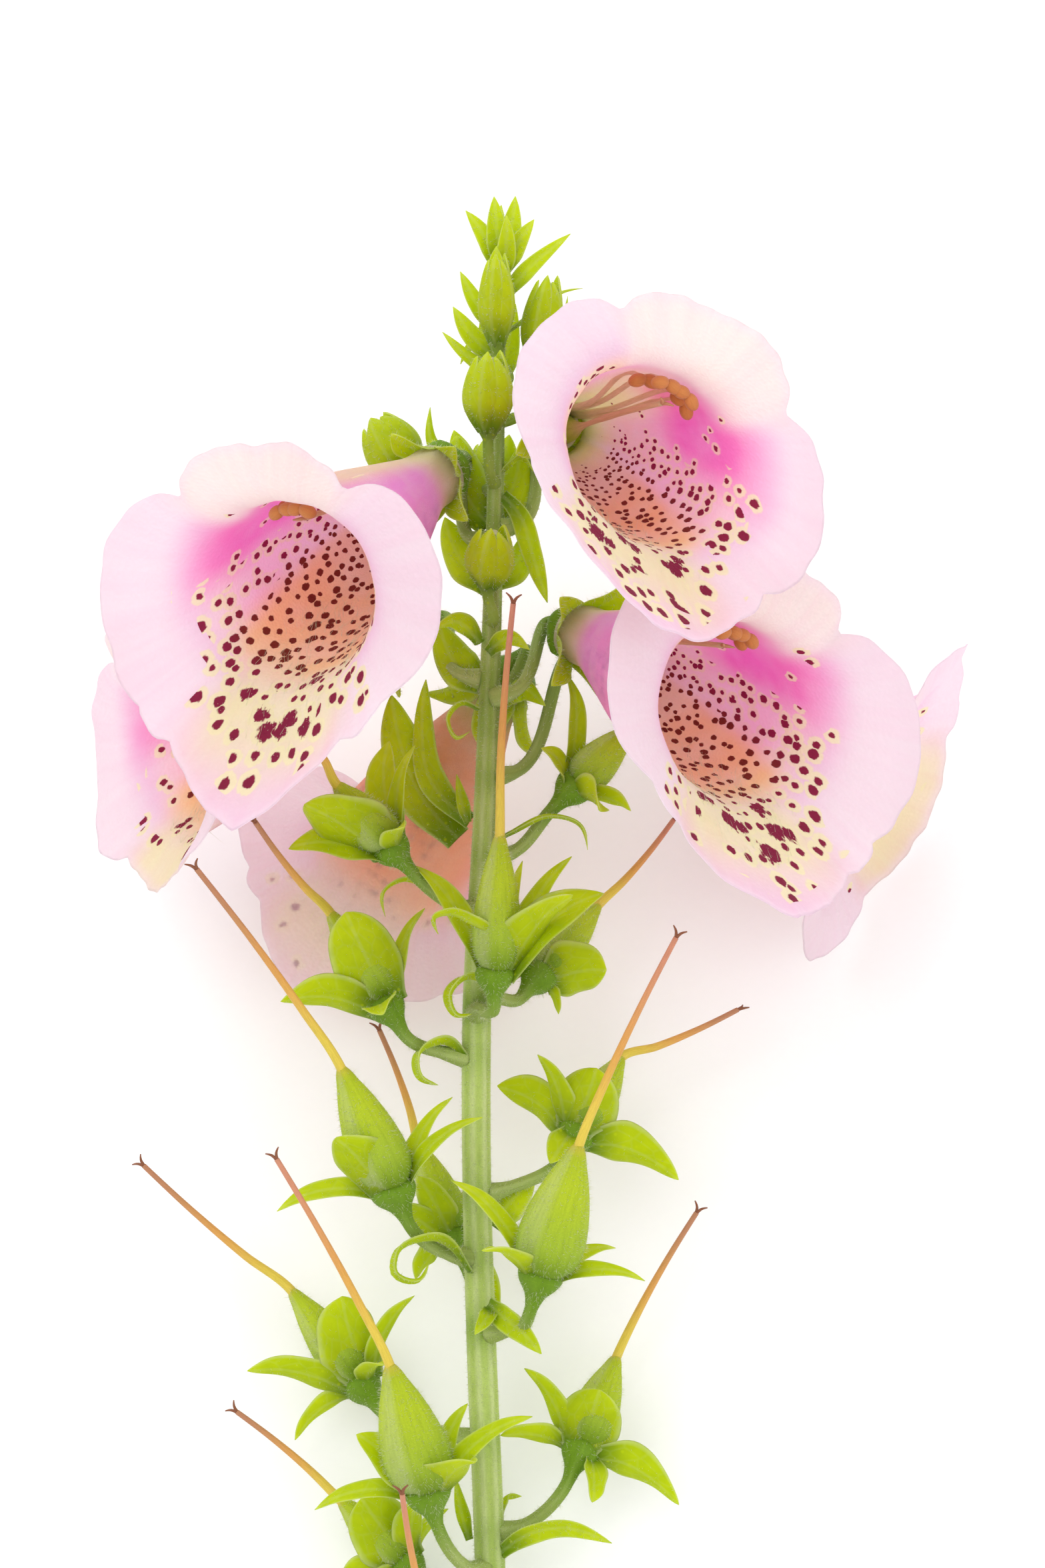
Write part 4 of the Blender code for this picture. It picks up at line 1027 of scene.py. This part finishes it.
def petal_material(petals):
    """Foxglove petal: thin, soft and full of water, so it lets light through, and its surface is a
    velvet of fine round cells. The eye sees a silky, glowing pink with sharp maroon spots in rings."""
    material, tree = new_material("foxglove petal")
    tint, place = surface_inputs(tree)
    marks = add_node(tree, "Attribute", attribute_name="marks").outputs["Color"]
    spot_share, blotch_share, ring_share = add_node(tree, "SeparateColor", {0: marks}).outputs
    # the edges of spots are ragged over about 0.4 mm, and more so lengthways; those of blotches, more
    fine = add_node(tree, "VectorMath", {0: place, 1: (2.6, 1.2, 1)}, operation="MULTIPLY").outputs[0]
    ragged = add_node(tree, "TexNoise", {"Vector": fine, "Scale": 1.0, "Detail": 3.0}).outputs["Color"]
    shift = add_node(tree, "VectorMath", {0: ragged, 1: (0.5, 0.5, 0.5)}, operation="SUBTRACT").outputs[0]
    masks = []
    for sway, squeeze, spacing, core, share, halo in (
        ((0.4, 0.55, 0), (1.0, 0.8, 1), petals.spot_spacing, 0.24, spot_share, 0.27),
        ((1.28, 1.98, 0), (1.0, 0.85, 1), petals.blotch_spacing, 0.30, blotch_share, 0.16),
    ):
        torn = add_node(tree, "VectorMath", {0: shift, 1: sway, 2: place},
                        operation="MULTIPLY_ADD").outputs[0]
        torn = add_node(tree, "VectorMath", {0: torn, 1: squeeze}, operation="MULTIPLY").outputs[0]
        masks.append(spot_masks(tree, torn, spacing / MM, core, 0.14, share, halo))
    # veins run up the petal about 0.7 mm apart
    along = add_node(tree, "VectorMath", {0: place, 1: (1.4, 0.07, 1)}, operation="MULTIPLY").outputs[0]
    veins = add_node(tree, "TexNoise", {"Vector": along, "Scale": 1.0, "Detail": 4.0}).outputs[0]
    vein = add_node(tree, "MapRange", {0: veins, 1: 0.35, 2: 0.7, 3: 0.0, 4: 0.07}).outputs[0]
    colour = add_node(tree, "Mix", {0: vein, 6: tint, 7: (1.0, 0.45, 0.72, 1)}, data_type="RGBA",
                      blend_type="MULTIPLY").outputs[2]
    # soft clouds of deeper and paler pink, 6 mm across
    cloud = add_node(tree, "TexNoise", {"Vector": place, "Scale": 0.16, "Detail": 2.0}).outputs[0]
    cloud = add_node(tree, "MapRange", {0: cloud, 1: 0.4, 2: 0.65, 3: 0.0, 4: 0.22}).outputs[0]
    colour = add_node(tree, "Mix", {0: cloud, 6: colour, 7: (*petals.rim, 1)}, data_type="RGBA").outputs[2]
    core, ring = (add_node(tree, "Math", {0: spot, 1: blotch}, operation="MAXIMUM").outputs[0]
                  for spot, blotch in zip(*masks))
    pale = add_node(tree, "Math", {0: ring, 1: ring_share}, operation="MULTIPLY").outputs[0]
    pale = add_node(tree, "Math", {0: pale, 1: 0.85}, operation="MULTIPLY").outputs[0]
    colour = add_node(tree, "Mix", {0: pale, 6: colour, 7: (*petals.cream, 1)}, data_type="RGBA").outputs[2]
    ink = add_node(tree, "Mix", {0: ring_share, 6: (*petals.brown, 1), 7: (*petals.maroon, 1)},
                   data_type="RGBA").outputs[2]
    colour = add_node(tree, "Mix", {0: core, 6: colour, 7: ink}, data_type="RGBA").outputs[2]
    # the round cells of the skin are far finer than this; 0.35 mm is what a close view can show
    cells = add_node(tree, "TexVoronoi", {"Vector": place, "Scale": 1 / 0.35}, voronoi_dimensions="2D")
    height = add_node(tree, "Math", {0: veins, 1: 1.6, 2: cells.outputs["Distance"]},
                      operation="MULTIPLY_ADD").outputs[0]
    living_skin(tree, colour, height, roughness=0.6, sheen=0.1, glow=0.62, relief=0.1)
    return material


def leaf_material(greens):
    """Young sepal or bract: a thin green leaf with a waxy, downy skin. Light from behind turns it
    bright yellow-green and shows a net of paler veins and a few yellow glands."""
    material, tree = new_material("foxglove sepal")
    colour, place = surface_inputs(tree)
    # side veins leave the midrib every 1.3 mm or so; the small net between them is drawn with them
    along = add_node(tree, "VectorMath", {0: place, 1: (0.9, 0.55, 1)}, operation="MULTIPLY").outputs[0]
    net = add_node(tree, "TexVoronoi", {"Vector": along, "Scale": 1 / 1.1}, voronoi_dimensions="2D",
                   feature="DISTANCE_TO_EDGE").outputs["Distance"]
    middle = add_node(tree, "SeparateXYZ", {0: place}).outputs[0]
    middle = add_node(tree, "Math", {0: middle}, operation="ABSOLUTE").outputs[0]
    # pale and dark patches, about 2 mm across, and yellow glands 1.9 mm apart
    patches = add_node(tree, "TexNoise", {"Vector": place, "Scale": 0.45, "Detail": 3.0}).outputs[0]
    glands = add_node(tree, "TexVoronoi", {"Vector": place, "Scale": 1 / 1.9}, voronoi_dimensions="2D")
    shares = []
    for pattern, start, end, at_start, at_end, other in (
        (net, 0.0, 0.12, 0.10, 0.0, greens.edge),
        (middle, 0.08, 0.28, 0.2, 0.0, greens.edge),
        (patches, 0.42, 0.68, 0.0, 0.16, greens.shade),
        (glands.outputs["Distance"], 0.06, 0.12, 0.5, 0.0, greens.tip),
    ):
        share = add_node(tree, "MapRange", {0: pattern, 1: start, 2: end, 3: at_start, 4: at_end}).outputs[0]
        colour = add_node(tree, "Mix", {0: share, 6: colour, 7: (*other, 1)}, data_type="RGBA").outputs[2]
        shares.append(share)
    height = add_node(tree, "Math", {0: net, 1: 0.8, 2: shares[2]}, operation="MULTIPLY_ADD").outputs[0]
    through = add_node(tree, "Mix", {0: 0.55, 6: colour, 7: (*greens.tip, 1)}, data_type="RGBA").outputs[2]
    living_skin(tree, colour, height, roughness=0.55, sheen=0.08, glow=0.5, relief=0.15, glow_colour=through)
    return material


# the other skins: how wide a streak along them and a grain of them are in mm, and living_skin's values
Finish = namedtuple("Finish", "streak grain roughness sheen glow relief")
FINISHES = {
    "foxglove stem skin": Finish(0.35, 0.16, 0.55, 0.08, 0.2, 0.1),
    "foxglove stalk skin": Finish(0.3, 0.14, 0.6, 0.05, 0.15, 0.1),
    "foxglove capsule skin": Finish(0.45, 0.2, 0.55, 0.08, 0.35, 0.14),
    "dry style": Finish(0.14, 0.1, 0.45, 0.1, 0.25, 0.05),
    "stamen thread": Finish(0.2, 0.12, 0.4, 0.1, 0.35, 0.05),
    "anther with pollen": Finish(0.3, 0.09, 0.85, 0.3, 0.1, 0.12),
    "pistil flesh": Finish(0.3, 0.15, 0.45, 0.1, 0.3, 0.06),
}


def skin_material(name):
    """Stems, stalks, capsules, styles and stamens: a juicy skin of long cells. The eye sees darker
    streaks along it and a fine pale grain."""
    finish = FINISHES[name]
    material, tree = new_material(name)
    tint, place = surface_inputs(tree)
    along = add_node(tree, "VectorMath", {0: place, 1: (1 / finish.streak, 0.12 / finish.streak, 1)},
                     operation="MULTIPLY").outputs[0]
    streaks = add_node(tree, "TexNoise", {"Vector": along, "Scale": 1.0, "Detail": 4.0}).outputs[0]
    dark = add_node(tree, "MapRange", {0: streaks, 1: 0.4, 2: 0.72, 3: 0.0, 4: 0.4}).outputs[0]
    colour = add_node(tree, "Mix", {0: dark, 6: tint, 7: (0.62, 0.66, 0.5, 1)}, data_type="RGBA",
                      blend_type="MULTIPLY").outputs[2]
    grain = add_node(tree, "TexNoise", {"Vector": place, "Scale": 1 / finish.grain,
                                        "Detail": 2.0}).outputs[0]
    light = add_node(tree, "MapRange", {0: grain, 1: 0.5, 2: 0.75, 3: 0.0, 4: 0.3}).outputs[0]
    colour = add_node(tree, "Mix", {0: light, 6: colour, 7: (1, 1, 0.85, 1)}, data_type="RGBA",
                      blend_type="SOFT_LIGHT").outputs[2]
    height = add_node(tree, "Math", {0: streaks, 1: 1.2, 2: grain}, operation="MULTIPLY_ADD").outputs[0]
    living_skin(tree, colour, height, finish.roughness, finish.sheen, finish.glow, finish.relief)
    return material


def hair_material():
    """Plant down: clear hairs a few cells long, which catch the light as a white bloom on every edge."""
    material, tree = new_material("plant down")
    place = add_node(tree, "TexCoord").outputs["Object"]
    grain = add_node(tree, "TexNoise", {"Vector": place, "Scale": 900.0})
    colour = add_node(tree, "Mix", {0: grain.outputs[0], 6: (*hex_colour("EDF3C8"), 1),
                                    7: (*hex_colour("FBFCEC"), 1)}, data_type="RGBA").outputs[2]
    surface = add_node(tree, "BsdfPrincipled", {"Base Color": colour, "Roughness": 0.35, "IOR": 1.45})
    through = add_node(tree, "BsdfTranslucent", {"Color": colour})
    both = add_node(tree, "MixShader", {0: 0.5, 1: surface.outputs[0], 2: through.outputs[0]})
    add_node(tree, "OutputMaterial", {"Surface": both.outputs[0]})
    return material


def floor_material(stage):
    """Matt white board: pressed paper without gloss, so it reads as an even pale ground."""
    material, tree = new_material("matt white board")
    place = add_node(tree, "TexCoord").outputs["Object"]
    fibres = add_node(tree, "TexNoise", {"Vector": place, "Scale": 900.0, "Detail": 3.0}).outputs[0]
    colour = add_node(tree, "Mix", {0: fibres, 6: (*stage.floor, 1), 7: (1, 1, 1, 1)},
                      data_type="RGBA").outputs[2]
    relief = add_node(tree, "Bump", {"Height": fibres, "Strength": 0.1, "Distance": 0.05 * MM})
    surface = add_node(tree, "BsdfPrincipled", {
        "Base Color": colour, "Roughness": 0.9, "Specular IOR Level": 0.2, "Normal": relief.outputs[0]})
    add_node(tree, "OutputMaterial", {"Surface": surface.outputs[0]})
    return material


# ---------------------------------------------------------------- operators


class FOXGLOVE_OT_stem(bpy.types.Operator):
    """Adds the ribbed stem in its node's place."""

    bl_idname = "foxglove.stem"
    bl_label = "Stem"

    def execute(self, context):
        greens = context.scene.foxglove_greens

        def colours(share, angle):
            ribs = bump(np.cos(3.5 * angle) ** 2, 1, 0.5)
            tint = blend(ground(greens.stem, share), greens.rib, 0.6 * ribs)
            # darker where a stalk leaves, a painted shade between the parts, and darker towards the tip
            places = [(side.height - STEM_FOOT) / (STEM_TOP - STEM_FOOT) for side in (*FRUITS, *BELLS)]
            dark = 0.3 * sum(bump(share, place, 0.012) for place in places) + 0.35 * smooth(share, 0.55, 0.8)
            return blend(tint, greens.shade, np.clip(dark, 0, 0.6))
        shell = tube(stem_points(), (1, 0, 0), 420, 56, colours,
                     section=lambda angle: 1 + 0.045 * np.cos(7 * angle))
        add_piece("stem_skin", [shell], skin_material("foxglove stem skin"), "stem", "stem")
        down = hairs([shell], 4.5, greens.down / MM * 0.6, 5)
        add_piece("stem_down", [down], hair_material(), "stem")
        return {"FINISHED"}


class FOXGLOVE_OT_bells(bpy.types.Operator):
    """Adds each open flower: its stalk, sepals, bell, throat hairs, stamens and pistil."""

    bl_idname = "foxglove.bells"
    bl_label = "Open flowers"

    def execute(self, context):
        petals, greens = context.scene.foxglove_petals, context.scene.foxglove_greens
        petal = petal_material(petals)
        leaf = leaf_material(greens)
        stalk_skin = skin_material("foxglove stalk skin")
        thread = skin_material("stamen thread")
        pollen = skin_material("anther with pollen")
        pistil = skin_material("pistil flesh")
        down = hair_material()
        rng = np.random.default_rng(11)
        for index, bell in enumerate(BELLS):
            name = "bell_" + bell.name
            node = "flower_" + bell.name
            calyx = np.array(bell.calyx, float)
            stalk = stalk_shell(greens, bell.height, bell.bearing, calyx, unit(bell.axis), 3.3)
            add_piece(name + "_stalk", [stalk], stalk_skin, "sepal", node + "_stalk")
            sepals = calyx_shells(bell, greens, rng)
            add_piece(name + "_sepals", sepals, leaf, "sepal", node + "_stalk")
            green_down = hairs([stalk, *sepals], 2.5, greens.down / MM, 60 + index)
            add_piece(name + "_down", [green_down], down, "sepal")
            corolla, inner = corolla_shell(petals, bell, index)
            add_piece(name + "_petals", [corolla], petal, "petal", node + "_corolla")
            add_piece(name + "_throat_hairs", [throat_hairs(inner, index)], down, "petal")
            threads, anthers = stamen_shells(bell)
            add_piece(name + "_stamen_threads", threads, thread, "stamen", node + "_stamens")
            add_piece(name + "_anthers", anthers, pollen, "stamen", node + "_stamens")
            add_piece(name + "_pistil", pistil_shells(greens, bell), pistil, "pistil", node + "_pistil")
        return {"FINISHED"}


class FOXGLOVE_OT_fruits(bpy.types.Operator):
    """Adds each spent flower: its stalk, sepals, capsule and style, with their down."""

    bl_idname = "foxglove.fruits"
    bl_label = "Capsules"

    def execute(self, context):
        greens = context.scene.foxglove_greens
        leaf = leaf_material(greens)
        stalk_skin = skin_material("foxglove stalk skin")
        capsule_skin = skin_material("foxglove capsule skin")
        style_skin = skin_material("dry style")
        down = hair_material()
        rng = np.random.default_rng(23)
        for index, fruit in enumerate(FRUITS):
            name = "fruit_" + fruit.name
            calyx = np.array(fruit.calyx, float)
            axis = unit(np.array(fruit.tip) - calyx)
            cup = 2.1 if fruit.girth < 3 else 2.5
            stalk = stalk_shell(greens, fruit.height, fruit.bearing, calyx, axis, cup)
            sepals = [
                sepal_shell(greens, calyx, axis, cup, reach, width, blunt, rng.uniform(0.15, 1), facing=0.8)
                for *reach, width, blunt in fruit.sepals
            ]
            capsule = capsule_shell(greens, fruit)
            add_piece(name + "_stalk_skin", [stalk], stalk_skin, "sepal", name + "_stalk")
            add_piece(name + "_sepals", sepals, leaf, "sepal", name + "_stalk")
            add_piece(name + "_capsule_skin", [capsule], capsule_skin, "capsule", name + "_capsule")
            style = style_shells(greens, fruit, index)
            add_piece(name + "_style", style, style_skin, "capsule", name + "_capsule")
            bloom = joined([hairs([stalk, capsule], 5, greens.down / MM, 80 + index, thickness=0.022),
                            hairs(sepals, 0.8, greens.down / MM * 0.5, 100 + index, thickness=0.02)])
            add_piece(name + "_down", [bloom], down, "capsule")
        return {"FINISHED"}


class FOXGLOVE_OT_bracts(bpy.types.Operator):
    """Adds the narrow bracts under the stalks, many of them curled."""

    bl_idname = "foxglove.bracts"
    bl_label = "Bracts"

    def execute(self, context):
        greens = context.scene.foxglove_greens
        leaf = leaf_material(greens)
        rng = np.random.default_rng(31)
        shells = []
        for number, bract in enumerate(BRACTS, 1):
            tint = leaf_tint(greens, rng.uniform(0, 0.8))
            shell = blade(bract.points, bract.across, bract.width, bract.blunt, tint, count=34)
            shells.append(shell)
            add_piece(f"bract_{number:02d}", [shell], leaf, "sepal")
        add_piece("bract_down", [hairs(shells, 2.5, greens.down / MM * 0.6, 130)], hair_material(), "sepal")
        return {"FINISHED"}


class FOXGLOVE_OT_buds(bpy.types.Operator):
    """Adds the buds, and the tuft of bracts that ends the spike."""

    bl_idname = "foxglove.buds"
    bl_label = "Buds and tip"

    def execute(self, context):
        greens = context.scene.foxglove_greens
        leaf = leaf_material(greens)
        down = hair_material()
        rng = np.random.default_rng(47)
        for index, bud in enumerate(BUDS):
            shells = bud_shells(greens, bud, rng)
            add_piece(f"bud_{bud.name}_sepals", shells, leaf, "bud", f"bud_{bud.name}")
            bloom = hairs(shells, 2.2, greens.down / MM * 0.6, 150 + index)
            add_piece(f"bud_{bud.name}_down", [bloom], down, "bud")
        leaves = [
            blade(points, unit(np.cross((0.1, 0.1, 1), np.subtract(points[2], points[0]))), width, 1.6,
                  leaf_tint(greens, rng.uniform(0.3, 1)))
            for *points, width in TIP_BRACTS
        ]
        add_piece("spike_tip_bracts", leaves, leaf, "bud", "spike_tip")
        add_piece("spike_tip_down", [hairs(leaves, 3, greens.down / MM * 0.6, 170)], down, "bud")
        return {"FINISHED"}


class FOXGLOVE_OT_stage(bpy.types.Operator):
    """Adds the pale floor, the soft studio light and the camera."""

    bl_idname = "foxglove.stage"
    bl_label = "Stage"

    def execute(self, context):
        stage = context.scene.foxglove_stage
        x, y = np.meshgrid((-2.0, 2.0), (-2.0, 2.0))
        corners = np.column_stack([x.ravel(), y.ravel(), np.zeros(4)])
        mesh = bpy.data.meshes.new("floor")
        mesh.from_pydata(corners.tolist(), [], [(0, 1, 3, 2)])
        mesh.materials.append(floor_material(stage))
        floor = bpy.data.objects.new("floor", mesh)
        context.scene.collection.objects.link(floor)
        for name, place, size, power in (
            ("key", (-0.35, 0.25, 0.75), 0.7, stage.key),
            ("fill", (0.6, -0.25, 0.5), 0.7, stage.key * 0.5),
            ("low", (0.0, 0.7, 0.25), 0.5, stage.key * 0.35),
        ):
            light = bpy.data.lights.new(name, "AREA")
            light.shape = "DISK"
            light.size = size
            light.energy = power
            lamp = bpy.data.objects.new(name, light)
            lamp.location = place
            aim = unit(np.array((0, 0, 0.03)) - place)
            side = unit(np.cross((0, 0, 1), -aim))
            lamp.rotation_euler = Matrix(np.array([side, np.cross(-aim, side), -aim]).T).to_euler()
            context.scene.collection.objects.link(lamp)
        world = bpy.data.worlds.new("even white room")
        world.use_nodes = True
        world.node_tree.nodes["Background"].inputs["Color"].default_value = (1, 1, 1, 1)
        world.node_tree.nodes["Background"].inputs["Strength"].default_value = stage.world
        context.scene.world = world
        lens = bpy.data.cameras.new("camera")
        lens.sensor_fit = "VERTICAL"
        lens.sensor_height = 36.0
        lens.lens = 36.0 * stage.distance / stage.view_height
        lens.clip_start, lens.clip_end = 0.01, 20
        camera = bpy.data.objects.new("camera", lens)
        eye = np.array((*VIEW_MIDDLE, stage.distance / MM)) @ TO_ROW.T + OFFSET
        camera.location = eye * MM
        camera.rotation_euler = (LEAN, 0, 0)
        context.scene.collection.objects.link(camera)
        context.scene.camera = camera
        context.scene.view_settings.view_transform = "Standard"
        return {"FINISHED"}


OPERATORS = (FOXGLOVE_OT_stem, FOXGLOVE_OT_bells, FOXGLOVE_OT_fruits, FOXGLOVE_OT_bracts,
             FOXGLOVE_OT_buds, FOXGLOVE_OT_stage)
GROUPS = {"foxglove_petals": FOXGLOVE_PG_petals, "foxglove_greens": FOXGLOVE_PG_greens,
          "foxglove_stage": FOXGLOVE_PG_stage}


class FOXGLOVE_PT_panel(bpy.types.Panel):
    """Lists the foxglove's settings and its operators."""

    bl_idname = "FOXGLOVE_PT_panel"
    bl_label = "Foxglove"
    bl_space_type = "VIEW_3D"
    bl_region_type = "UI"
    bl_category = "Foxglove"

    def draw(self, context):
        for name, group in GROUPS.items():
            box = self.layout.box()
            for field in group.__annotations__:
                box.prop(getattr(context.scene, name), field)
        for operator in OPERATORS:
            self.layout.operator(operator.bl_idname)


def register():
    """Adds the classes, and the settings to the scene."""
    for group in (*GROUPS.values(), *OPERATORS, FOXGLOVE_PT_panel):
        bpy.utils.register_class(group)
    for name, group in GROUPS.items():
        setattr(bpy.types.Scene, name, bpy.props.PointerProperty(type=group))


def unregister():
    """Takes the settings and the classes away."""
    for name in GROUPS:
        delattr(bpy.types.Scene, name)
    for group in (FOXGLOVE_PT_panel, *reversed(OPERATORS), *GROUPS.values()):
        bpy.utils.unregister_class(group)


def main():
    register()
    bpy.ops.foxglove.stem()
    bpy.ops.foxglove.bells()
    bpy.ops.foxglove.fruits()
    bpy.ops.foxglove.bracts()
    bpy.ops.foxglove.buds()
    bpy.ops.foxglove.stage()


if __name__ == "__main__":
    main()
